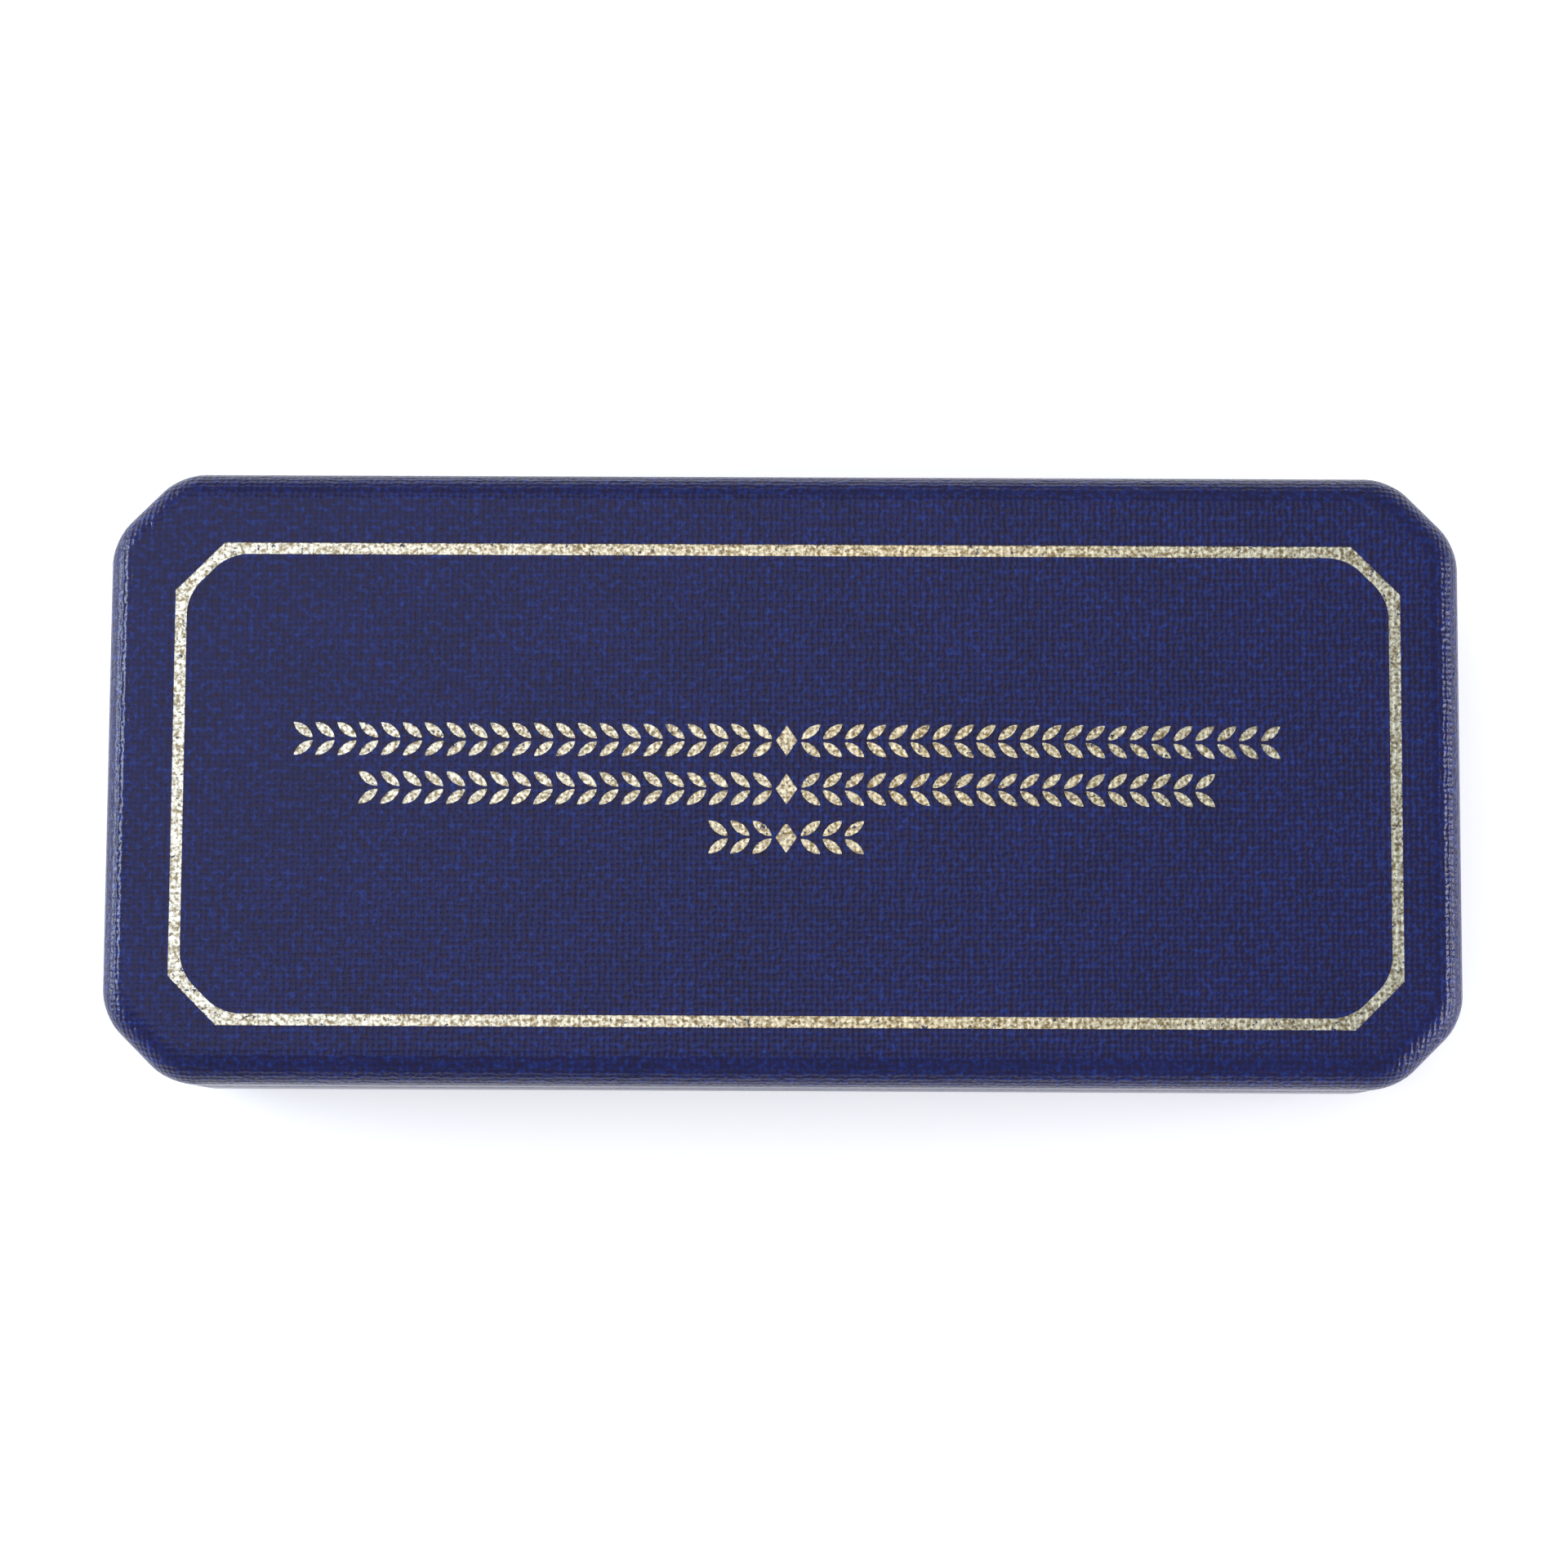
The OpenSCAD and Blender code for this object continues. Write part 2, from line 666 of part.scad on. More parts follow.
// Profile of the pad's sides and rolled edge, down to its crowned face
function pad_profile(skin) =
    let (roll_in = pad_in + satin_t + pad_roll,
         roll_z = pad_z + satin_t + pad_crown + pad_roll)
    concat([[roll_in - pad_roll - skin, board_z]],
           bend([roll_in, roll_z], pad_roll + skin, 180, 270, 4),
           [[pad_flat_in, pad_z + satin_t - skin]]);

module lid_wadding() {
    color("white") loft(reversed(pad_profile(0)), pad_back);
}

module lid_satin() {
    color("ivory") loft(concat(reversed(pad_profile(satin_t)),
                               [[pad_in, ceiling_z - 0.1], [pad_in + satin_t, ceiling_z - 0.1]],
                               pad_profile(0)), pad_back);
}

base_shell();
base_cover();
base_tuck_filler();
base_underlay();
base_collar();
bed_board();
bed_foam();
bed_velvet();
hinge_leaf_base();
hinge_pin();
hinge_rivets_base();
snap_spring_left();
snap_spring_right();
medal_disc();
medal_claw();
claw_rivets();
swivel_pin();
suspender();
ribbon();
brooch_bar();
brooch_pin();
brooch_hinge();
brooch_rivet();
brooch_catch();
lid_shell();
lid_cover();
foil_border();
foil_row_top();
foil_row_middle();
foil_row_bottom();
lid_board();
lid_wadding();
lid_satin();
hinge_leaf_lid();
hinge_rivets_lid();
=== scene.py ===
"""Presentation case with a service medal: leathercloth, blocked foil, velvet, satin and struck metal.

Lengths are in millimetres until they meet MM, but the lights and the floor are in metres. Places come
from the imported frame.
"""
import math

import bmesh
import bpy
from mathutils import Matrix, Vector, noise


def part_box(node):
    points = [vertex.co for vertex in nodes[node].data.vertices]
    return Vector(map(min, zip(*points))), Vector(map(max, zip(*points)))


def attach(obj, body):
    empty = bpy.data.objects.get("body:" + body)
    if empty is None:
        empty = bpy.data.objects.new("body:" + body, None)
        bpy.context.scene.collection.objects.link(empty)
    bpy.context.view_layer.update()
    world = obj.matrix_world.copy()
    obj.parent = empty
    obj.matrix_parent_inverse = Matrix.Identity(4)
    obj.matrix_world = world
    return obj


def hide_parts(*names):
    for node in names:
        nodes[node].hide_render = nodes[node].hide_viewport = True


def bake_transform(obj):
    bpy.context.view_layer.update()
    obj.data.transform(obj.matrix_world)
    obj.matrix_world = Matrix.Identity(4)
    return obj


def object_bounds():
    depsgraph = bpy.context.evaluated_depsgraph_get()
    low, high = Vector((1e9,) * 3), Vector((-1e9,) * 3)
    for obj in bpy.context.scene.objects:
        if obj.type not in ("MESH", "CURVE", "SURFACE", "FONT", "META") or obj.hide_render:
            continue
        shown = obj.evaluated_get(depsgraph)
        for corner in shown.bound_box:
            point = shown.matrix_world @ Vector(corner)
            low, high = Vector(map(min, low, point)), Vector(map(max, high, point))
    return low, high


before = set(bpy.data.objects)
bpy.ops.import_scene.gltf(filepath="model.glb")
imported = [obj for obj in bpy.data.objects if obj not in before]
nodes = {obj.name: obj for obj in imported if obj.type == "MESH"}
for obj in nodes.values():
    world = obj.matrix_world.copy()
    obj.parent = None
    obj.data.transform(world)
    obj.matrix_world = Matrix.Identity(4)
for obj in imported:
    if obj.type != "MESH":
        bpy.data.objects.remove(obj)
cad_box = [list(corner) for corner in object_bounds()]
MM = 0.001

# Case, as the frame has it
CORNER_CUT = 7.0
CORNER_R = 6.0
LID_ROLL = 3.6
BASE_ROLL = 2.6
CLOTH_T = 0.6
SHELL_T = 1.6
TURN_IN = 4.0
TUCK = 9.0
RIM_IN = SHELL_T + 2 * CLOTH_T

# Room for the hinge in the covers' rims
BARREL_ROOM_R = 1.5
BARREL_SLOT_H = 3
HINGE_END_GAP = 1
LEAF_GAP = 0.2
LEAF_ROOM_T = 0.9
LEAF_ROOM_H = 11

# Stamp on the lid
STAMP_OFF = Vector((0.35, -0.85, 0))
BORDER_INSET = 6.8
BORDER_W = 1.2
BORDER_CUT = 5.0
BORDER_R = 4.5
ROW_LENGTHS = (102.4, 87.4, 17)
ROW_H = 3.2
ROW_PITCH = 5.0
ROW_DROP = 0.45
LEAF_PITCH = 2.25
LEAF_LEAN = math.radians(38)
LEAF_L = ROW_H * 0.78
LEAF_W = ROW_H * 0.3
LEAF_FIRST = 1.5
LEAF_OFF = 0.15
LOZENGE_HALF = 1.1
FOIL_DEPTH = 0.12
FOIL_LEDGE = 0.1
CROWN_IN = 0.6

# Grain of the cloth, and how much its threads and pebbles grow where it is pulled over an edge
GRAIN = 0.62
THREAD_GAIN = 0.7
PEBBLE_GAIN = 4.5

# Lining
BED_IN = 4.2
BED_GAP = 0.8
VELVET_T = 0.6
SEAT_DEPTH = 2.55
RAIL_START = 7.6
PLATE_ROOM = 7.6
SLOT_HALF = 0.9
VELVET_VOXEL = 0.55
# Height, length and seed of each wave of the velvet's nap
NAP_WAVES = ((0.05, 6, 3), (0.03, 1.6, 5))
PAD_IN = 3.0
PAD_ROLL = 1.6
PAD_BACK_GAP = 0.05
PAD_CORNER = 5
SATIN_VOXEL = 1.1
# How far the pad is kept back before it is blown up, how far it may then move, and how much it is enlarged
PUFF_ROOM = 0.35
PUFF_CAP = 0.7
PUFF_SCALE = 8.0
# Puckers of the satin: height, pitch, and how far they run in
PUCKER_H = 0.55
PUCKER_PITCH = 1.5
PUCKER_REACH = 13

# Medal
DISC_T = 3.0
DISC_RIM = 1.2
DISC_SINK = 0.45
BEADS = 96
BEAD_R = 0.36
BEAD_IN = 1.1
# Shares of the disc's radius at which the star's points and the wreath lie, and of a point at its waist
STAR_OUT = 0.48
STAR_WAIST = 0.42
WREATH_AT = 0.66
WREATH_PAIRS = 13
WREATH_LEAF = (3.0, 1.25)
RIBBON_W = 32
RIBBON_T = 0.45

# How much the edges of the small metal and of the collar are broken
CLAW_EDGE = 0.18
BROOCH_EDGE = 0.1
COLLAR_EDGE = 0.3

# Edges that turn by more than this stay crisp
SHARP = math.radians(32)


def box_mm(node):
    """Lowest and highest corner of a frame node, in millimetres."""
    low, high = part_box(node)
    return Vector(low) / MM, Vector(high) / MM


# ---- Materials ----

def linear(code):
    """Linear colour of an sRGB hex code."""
    parts = [int(code[k:k + 2], 16) / 255 for k in (0, 2, 4)]
    return (*[c / 12.92 if c <= 0.04045 else ((c + 0.055) / 1.055) ** 2.4 for c in parts], 1.0)


def add(tree, kind, inputs=None, **settings):
    """Adds a shader node, sets its settings, sets or links its inputs, and returns its outputs."""
    made = tree.nodes.new("ShaderNode" + kind)
    for name, value in settings.items():
        setattr(made, name, value)
    for key, value in (inputs or {}).items():
        if isinstance(value, bpy.types.NodeSocket):
            tree.links.new(value, made.inputs[key])
        else:
            made.inputs[key].default_value = value
    return made.outputs


def blank(name):
    """A new material with an empty node tree."""
    made = bpy.data.materials.new(name)
    made.use_nodes = True
    made.node_tree.nodes.clear()
    return made, made.node_tree


def finish_with(tree, inputs):
    """Ends a node tree in one principled shader."""
    shader = add(tree, "BsdfPrincipled", inputs)
    add(tree, "OutputMaterial", {"Surface": shader["BSDF"]})


def bands(pitch_mm):
    """Scale at which a wave texture's bands lie that far apart, on coordinates in metres."""
    return math.pi / (10 * pitch_mm * MM)


def per_mm(size_mm):
    """Scale at which a noise texture's cells are about that size, on coordinates in metres."""
    return 1 / (size_mm * MM)


def linen_grain(tree, place):
    """Height of an embossed linen grain: two crossed sets of uneven threads."""
    uneven = {"Vector": place, "Scale": bands(GRAIN), "Distortion": 3.4, "Detail": 3.0, "Detail Scale": 1.6}
    warp = add(tree, "TexWave", uneven, bands_direction="X")["Fac"]
    weft = add(tree, "TexWave", uneven, bands_direction="Y")["Fac"]
    over = add(tree, "Math", {0: warp, 1: weft}, operation="MAXIMUM")[0]
    knots = add(tree, "Math", {0: warp, 1: weft}, operation="MULTIPLY")[0]
    return add(tree, "Mix", {"Factor": 0.5, 2: over, 3: knots})[0]


def linen_leathercloth(name, wrapped):
    """PVC-coated bookcloth embossed with a linen grain: semi-matt navy in random blue and purple specks, with
    a painted highlight on its raised threads and painted shade between them, a few specks of dust, and deeper
    grain and fine creases where it is pulled over an edge."""
    made, tree = blank(name)
    if wrapped:
        place = add(tree, "UVMap", uv_map="cloth")["UV"]
        pull = add(tree, "Attribute", attribute_name="pull")["Fac"]
    else:
        place = add(tree, "TexCoord")["Object"]
        pull = 0.0
    grain = linen_grain(tree, place)
    speckle = add(tree, "TexNoise", {"Vector": place, "Scale": per_mm(0.7), "Detail": 3.0,
                                     "Roughness": 0.65})["Fac"]
    patches = add(tree, "TexNoise", {"Vector": place, "Scale": per_mm(9), "Detail": 3.0})["Fac"]
    hue = add(tree, "ValToRGB", {"Fac": speckle})
    ramp = tree.nodes[-1].color_ramp
    ramp.elements[0].position = 0.3
    ramp.elements[0].color = linear("1e1436")
    ramp.elements[1].position = 0.72
    ramp.elements[1].color = linear("193078")
    middle = ramp.elements.new(0.5)
    middle.color = linear("12164a")
    # The grain's height changes the colour: raised threads are painted lighter as a painted highlight, and
    # the hollows between them darker as painted shade.
    shade = add(tree, "MapRange", {"Value": grain, "From Min": 0.1, "From Max": 0.9, "To Min": 0.72,
                                   "To Max": 1.15})["Result"]
    cloudy = add(tree, "MapRange", {"Value": patches, "From Min": 0.3, "From Max": 0.7, "To Min": 0.86,
                                    "To Max": 1.1})["Result"]
    tone = add(tree, "Math", {0: shade, 1: cloudy}, operation="MULTIPLY")[0]
    colour = add(tree, "VectorMath", {0: hue["Color"], "Scale": tone}, operation="SCALE")["Vector"]
    wrinkle = add(tree, "TexNoise", {"Vector": place, "Scale": per_mm(1.5), "Detail": 3.0, "Distortion": 1.2},
                  noise_type="RIDGED_MULTIFRACTAL")["Fac"]
    creases = add(tree, "Math", {0: wrinkle, 1: pull}, operation="MULTIPLY")[0]
    opened = add(tree, "Math", {0: pull, 1: THREAD_GAIN, 2: 1.0}, operation="MULTIPLY_ADD")[0]
    pebbles = add(tree, "Math", {0: speckle, 1: pull}, operation="MULTIPLY")[0]
    threads = add(tree, "Math", {0: grain, 1: opened}, operation="MULTIPLY")[0]
    relief = add(tree, "Math", {0: pebbles, 1: PEBBLE_GAIN, 2: threads}, operation="MULTIPLY_ADD")[0]
    fine = add(tree, "Bump", {"Height": relief, "Distance": 0.05 * MM, "Strength": 0.9})["Normal"]
    normal = add(tree, "Bump", {"Height": creases, "Distance": 0.2 * MM, "Strength": 1.0,
                                "Normal": fine})["Normal"]
    dust = add(tree, "TexVoronoi", {"Vector": place, "Scale": per_mm(19)})["Distance"]
    clean = add(tree, "MapRange", {"Value": dust, "From Min": 0.004, "From Max": 0.009})["Result"]
    colour = add(tree, "Mix", {"Factor": clean, 6: linear("b9b7a0"), 7: colour}, data_type="RGBA")[2]
    finish_with(tree, {"Base Color": colour, "Roughness": 0.22, "IOR": 1.45,
                       "Specular IOR Level": 0.3, "Normal": normal})
    return made


def blocked_foil():
    """Metallised film hot-stamped into the cloth: pale silver with a painted reflection that turns warmer
    past its middle and greyer at its right end, painted glints in fine brown and white flecks, dulled by the
    grain under it, with pits where it didn't take and the cloth shows."""
    made, tree = blank("blocked_foil")
    place = add(tree, "TexCoord")["Object"]
    grain = linen_grain(tree, place)
    along = add(tree, "SeparateXYZ", {"Vector": place})
    # Painted reflection: the foil's colour runs from pale silver at the left, through a warmer tone past the
    # middle, to greyer silver at the right.
    half = cad_box[1][0]
    painted_reflection_across = add(tree, "MapRange", {"Value": along["X"], "From Min": -half,
                                           "From Max": half})["Result"]
    metal = add(tree, "ValToRGB", {"Fac": painted_reflection_across})
    ramp = tree.nodes[-1].color_ramp
    ramp.elements[0].color = linear("f4f6ee")
    ramp.elements[1].color = linear("d2d4c4")
    painted_warm_reflection = ramp.elements.new(0.6)
    painted_warm_reflection.color = linear("ecdfbe")
    pits = add(tree, "TexNoise", {"Vector": place, "Scale": per_mm(0.55), "Detail": 3.0,
                                  "Roughness": 0.7})["Fac"]
    taken = add(tree, "MapRange", {"Value": pits, "From Min": 0.33, "From Max": 0.4})["Result"]
    # Painted glints: a fine noise darkens the foil's colour to brown in flecks and leaves it white between
    # them. The same noise also gives the foil a fine bump.
    glints = add(tree, "TexNoise", {"Vector": place, "Scale": per_mm(0.35), "Detail": 2.0})["Fac"]
    painted_glint_tint = add(tree, "ValToRGB", {"Fac": glints})
    ramp = tree.nodes[-1].color_ramp
    ramp.elements[0].position = 0.36
    ramp.elements[0].color = linear("9a8c74")
    ramp.elements[1].position = 0.6
    ramp.elements[1].color = linear("ffffff")
    metal_with_painted_light = add(tree, "VectorMath", {0: metal["Color"], 1: painted_glint_tint["Color"]}, operation="MULTIPLY")["Vector"]
    colour = add(tree, "Mix", {"Factor": taken, 6: linear("23233f"), 7: metal_with_painted_light}, data_type="RGBA")[2]
    rough = add(tree, "Bump", {"Height": glints, "Distance": 0.04 * MM, "Strength": 1.0})["Normal"]
    normal = add(tree, "Bump", {"Height": grain, "Distance": 0.04 * MM, "Strength": 1.0,
                                "Normal": rough})["Normal"]
    finish_with(tree, {"Base Color": colour, "Metallic": taken, "Roughness": 0.32, "Normal": normal})
    return made


def plain(name, code, roughness, cell_mm, depth_mm, metallic=0.0):
    """A material of one colour with a fine uneven surface, for pieces that the closed case hides."""
    made, tree = blank(name)
    place = add(tree, "TexCoord")["Object"]
    grit = add(tree, "TexNoise", {"Vector": place, "Scale": per_mm(cell_mm), "Detail": 4.0})["Fac"]
    tone = add(tree, "MapRange", {"Value": grit, "To Min": 0.8, "To Max": 1.2})["Result"]
    colour = add(tree, "VectorMath", {0: linear(code)[:3], "Scale": tone}, operation="SCALE")["Vector"]
    normal = add(tree, "Bump", {"Height": grit, "Distance": depth_mm * MM})["Normal"]
    finish_with(tree, {"Base Color": colour, "Roughness": roughness, "Metallic": metallic, "Normal": normal})
    return made


CLOTH = linen_leathercloth("linen_leathercloth", True)
FLAT_CLOTH = linen_leathercloth("linen_leathercloth_flat", False)
FOIL = blocked_foil()
STEEL = plain("nickel_plated_steel", "b9b4a8", 0.3, 0.4, 0.004, metallic=1.0)
CARD = plain("greyboard", "8d8271", 0.9, 0.8, 0.05)
FOAM = plain("polyurethane_foam", "b9bcc2", 0.95, 0.5, 0.12)
STYRENE = plain("moulded_polystyrene", "26272b", 0.5, 2.5, 0.03)
CUPRONICKEL = plain("struck_cupro_nickel", "c9c6bf", 0.24, 0.8, 0.004, metallic=1.0)
GILDING_METAL = plain("lacquered_gilding_metal", "c79a55", 0.3, 0.6, 0.006, metallic=1.0)


def dress(node, material):
    """Gives a frame node its material."""
    data = nodes[node].data
    data.materials.clear()
    data.materials.append(material)


def cotton_velvet():
    """Cotton velvet, woven and cut: a deep navy pile in brushed patches that turns pale at grazing
    angles."""
    made, tree = blank("cotton_velvet")
    place = add(tree, "TexCoord")["Object"]
    pile = add(tree, "TexNoise", {"Vector": place, "Scale": per_mm(0.5), "Detail": 3.0,
                                  "Roughness": 0.7})["Fac"]
    brushed = add(tree, "TexNoise", {"Vector": place, "Scale": per_mm(11), "Detail": 4.0,
                                     "Distortion": 1.2})["Fac"]
    hue = add(tree, "ValToRGB", {"Fac": brushed})
    ramp = tree.nodes[-1].color_ramp
    ramp.elements[0].position = 0.38
    ramp.elements[0].color = linear("11173c")
    ramp.elements[1].position = 0.64
    ramp.elements[1].color = linear("1c2659")
    shade = add(tree, "MapRange", {"Value": pile, "From Min": 0.35, "From Max": 0.65, "To Min": 0.45,
                                   "To Max": 1.5})["Result"]
    colour = add(tree, "VectorMath", {0: hue["Color"], "Scale": shade}, operation="SCALE")["Vector"]
    normal = add(tree, "Bump", {"Height": pile, "Distance": 0.25 * MM, "Strength": 1.0})["Normal"]
    finish_with(tree, {"Base Color": colour, "Roughness": 0.95, "Specular IOR Level": 0.05,
                       "Sheen Weight": 0.5, "Sheen Roughness": 0.35, "Sheen Tint": linear("7f92d8"),
                       "Normal": normal})
    return made


def acetate_satin():
    """Acetate satin, woven and calendered: ivory with a streaked gloss along its fine warp threads."""
    made, tree = blank("acetate_satin")
    place = add(tree, "TexCoord")["Object"]
    long = add(tree, "Mapping", {"Vector": place, "Scale": (0.05, 1, 1)})["Vector"]
    threads = add(tree, "TexNoise", {"Vector": long, "Scale": per_mm(0.25), "Detail": 2.0})["Fac"]
    tone = add(tree, "MapRange", {"Value": threads, "From Min": 0.3, "From Max": 0.7, "To Min": 0.95,
                                  "To Max": 1.03})["Result"]
    colour = add(tree, "VectorMath", {0: linear("e6dcc3")[:3], "Scale": tone}, operation="SCALE")["Vector"]
    normal = add(tree, "Bump", {"Height": threads, "Distance": 0.02 * MM, "Strength": 0.4})["Normal"]
    finish_with(tree, {"Base Color": colour, "Roughness": 0.34, "Anisotropic": 0.6, "Sheen Weight": 0.25,
                       "Sheen Roughness": 0.3, "Normal": normal})
    return made


def ribbed_ribbon():
    """Watered rayon ribbon, woven with fine cross ribs: deep green with narrow white stripes at its
    middle."""
    made, tree = blank("watered_rayon_ribbon")
    place = add(tree, "TexCoord")["Object"]
    across = add(tree, "SeparateXYZ", {"Vector": place})["Y"]
    from_middle = add(tree, "Math", {0: across}, operation="ABSOLUTE")[0]
    where = add(tree, "MapRange", {"Value": from_middle, "From Max": RIBBON_W / 2 * MM})["Result"]
    stripes = add(tree, "ValToRGB", {"Fac": where})
    ramp = tree.nodes[-1].color_ramp
    ramp.interpolation = "CONSTANT"
    green, white = linear("0d4a2c"), linear("e8e6dc")
    ramp.elements[0].color = green
    ramp.elements[1].position = 0.09
    ramp.elements[1].color = white
    for position, code in ((0.16, green), (0.25, white), (0.32, green)):
        ramp.elements.new(position).color = code
    ribs = add(tree, "TexWave", {"Vector": place, "Scale": bands(0.5), "Distortion": 0.3},
               bands_direction="X")["Fac"]
    watering = add(tree, "TexNoise", {"Vector": place, "Scale": per_mm(3.5), "Detail": 3.0,
                                      "Distortion": 1.5})["Fac"]
    shade = add(tree, "MapRange", {"Value": watering, "From Min": 0.35, "From Max": 0.65, "To Min": 0.8,
                                   "To Max": 1.15})["Result"]
    dim = add(tree, "MapRange", {"Value": ribs, "To Min": 0.75, "To Max": 1.1})["Result"]
    tone = add(tree, "Math", {0: shade, 1: dim}, operation="MULTIPLY")[0]
    colour = add(tree, "VectorMath", {0: stripes["Color"], "Scale": tone}, operation="SCALE")["Vector"]
    normal = add(tree, "Bump", {"Height": ribs, "Distance": 0.08 * MM, "Strength": 0.8})["Normal"]
    finish_with(tree, {"Base Color": colour, "Roughness": 0.5, "Sheen Weight": 0.3, "Sheen Roughness": 0.4,
                       "Normal": normal})
    return made


VELVET = cotton_velvet()
SATIN = acetate_satin()
RIBBON = ribbed_ribbon()


# ---- Making pieces ----

def piece(name, bm, body, material, slot, *replaced):
    """Makes a finished object from a bmesh in millimetres, on its body and in place of frame nodes."""
    bmesh.ops.scale(bm, vec=(MM, MM, MM), verts=bm.verts)
    data = bpy.data.meshes.new(name)
    bm.to_mesh(data)
    bm.free()
    data.shade_smooth()
    data.set_sharp_from_angle(angle=SHARP)
    data.materials.append(material)
    made = bpy.data.objects.new(name, data)
    bpy.context.scene.collection.objects.link(made)
    if body:
        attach(made, body)
    if replaced:
        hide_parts(*replaced)
    return made


def bake_modifiers(made):
    """Replaces an object's mesh by what its modifiers make of it."""
    bpy.context.view_layer.update()
    shown = made.evaluated_get(bpy.context.evaluated_depsgraph_get())
    data = bpy.data.meshes.new_from_object(shown)
    data.set_sharp_from_angle(angle=SHARP)
    made.modifiers.clear()
    made.data = data


def thicken(made, thickness, offset=-1.0):
    """Gives a skin its thickness, inwards or by the offset asked for."""
    wall = made.modifiers.new("thickness", "SOLIDIFY")
    wall.thickness = thickness * MM
    wall.offset = offset
    bake_modifiers(made)


def cut_out(made, name, tools):
    """Cuts the tools' room out of a piece."""
    cutter = piece(name, tools, None, CARD, "board")
    tool = made.modifiers.new(name, "BOOLEAN")
    tool.object = cutter
    tool.use_self = True
    bake_modifiers(made)
    bpy.data.objects.remove(cutter)


def verts_of(geom):
    """The vertices among the things that an operator returned."""
    return [g for g in geom if isinstance(g, bmesh.types.BMVert)]


def faces_of(geom):
    """The faces among the things that an operator returned."""
    return [g for g in geom if isinstance(g, bmesh.types.BMFace)]


def level(bm, z, kind="faces"):
    """Faces that look along Z, or edges that lie flat, at a height."""
    if kind == "edges":
        return [e for e in bm.edges if all(abs(v.co.z - z) < 1e-4 for v in e.verts)]
    return [f for f in bm.faces if all(abs(v.co.z - z) < 1e-4 for v in f.verts)]


def bevel(bm, geom, offset, segments=1, affect="EDGES"):
    """Rounds edges or corners off, or cuts them flat with one segment."""
    bmesh.ops.bevel(bm, geom=geom, offset=offset, segments=segments, profile=0.5, affect=affect, material=-1)


def case_block(length, width, height, inset=0.0):
    """A block that stands on z = 0 with the case's plan at an inset: cut corners with rounded vertices."""
    cut = CORNER_CUT - inset * (2 - math.sqrt(2))
    radius = max(0.5, CORNER_R - inset)
    bm = bmesh.new()
    bmesh.ops.create_cube(bm, size=1)
    bmesh.ops.translate(bm, vec=(0, 0, 0.5), verts=bm.verts)
    bmesh.ops.scale(bm, vec=(length, width, height), verts=bm.verts)
    for offset, segments in ((cut, 1), (radius * math.tan(math.pi / 8), 6)):
        upright = [e for e in bm.edges if abs(e.verts[0].co.z - e.verts[1].co.z) > 1]
        bevel(bm, upright, offset, segments)
    return bm


def wrapped_shell(length, width, height, roll):
    """Cloth over a tray that stands upside down: rolled top edge, rounded rim at z = 0, turned in over it."""
    bm = case_block(length, width, height)
    bevel(bm, level(bm, height, "edges"), roll, 14)
    under = level(bm, 0)
    bmesh.ops.inset_region(bm, faces=under, thickness=RIM_IN, use_even_offset=True)
    under = [f for f in level(bm, 0) if len(f.verts) > 4]
    rim = level(bm, 0, "edges")
    turned = bmesh.ops.extrude_face_region(bm, geom=under)["geom"]
    bmesh.ops.translate(bm, vec=(0, 0, TURN_IN), verts=verts_of(turned))
    bmesh.ops.delete(bm, geom=faces_of(turned) + under, context="FACES_ONLY")
    rim = [e for e in rim if e.is_valid and len(e.link_faces) == 2 and
           any(abs(f.normal.z) < 0.5 for f in e.link_faces)]
    bevel(bm, rim, RIM_IN / 2 - 0.02, 5)
    return bm


def wrap_coords(bm, top, roll, height):
    """Gives every corner the place it had on the flat cloth, and every point how far it is pulled over the
    edge. Sides are unrolled outwards from the top, so the threads run on over the edge."""
    bm.normal_update()
    flat = bm.loops.layers.uv.new("cloth")
    pull = bm.verts.layers.float.new("pull")
    for vert in bm.verts:
        drop = top - vert.co.z
        outward = Vector((vert.normal.x, vert.normal.y))
        place = Vector((vert.co.x, vert.co.y))
        if outward.length > 0.02 and drop > 1e-3:
            outward.normalize()
            turn = math.acos(max(-1.0, 1 - min(drop, roll) / roll))
            unrolled = roll * turn + max(0.0, drop - roll)
            place += outward * (unrolled - roll * math.sin(turn))
        else:
            turn = 0.0
        vert[pull] = turn / (math.pi / 2) * (1 - 0.75 * min(1.0, max(0.0, drop - roll) / height))
        for loop in vert.link_loops:
            loop[flat].uv = place * MM


def octagon(half_x, half_y, cut, radius=0.0):
    """A flat face with the stamp's plan, cut at its corners and rounded at the cuts' ends if asked."""
    bm = bmesh.new()
    bmesh.ops.create_grid(bm, x_segments=1, y_segments=1, size=1)
    bmesh.ops.scale(bm, vec=(half_x, half_y, 1), verts=bm.verts)
    bevel(bm, bm.verts[:], cut, affect="VERTICES")
    if radius:
        bevel(bm, bm.verts[:], radius * math.tan(math.pi / 8), 6, affect="VERTICES")
    return bm


def leaf_shape(length, width):
    """A flat pointed leaf along +X with its stalk at the origin."""
    bm = bmesh.new()
    bmesh.ops.create_circle(bm, cap_ends=True, segments=12, radius=1)
    for vert in bm.verts:
        vert.co.y *= abs(math.sin(math.acos(max(-1.0, min(1.0, vert.co.x))))) ** 0.7
    bmesh.ops.translate(bm, vec=(1, 0, 0), verts=bm.verts)
    bmesh.ops.scale(bm, vec=(length / 2, width / 2, 1), verts=bm.verts)
    return bm


def lozenge():
    """A flat lozenge for the middle of a row."""
    bm = bmesh.new()
    bmesh.ops.create_circle(bm, cap_ends=True, segments=4, radius=1)
    bmesh.ops.scale(bm, vec=(LOZENGE_HALF, ROW_H / 2, 1), verts=bm.verts)
    return bm


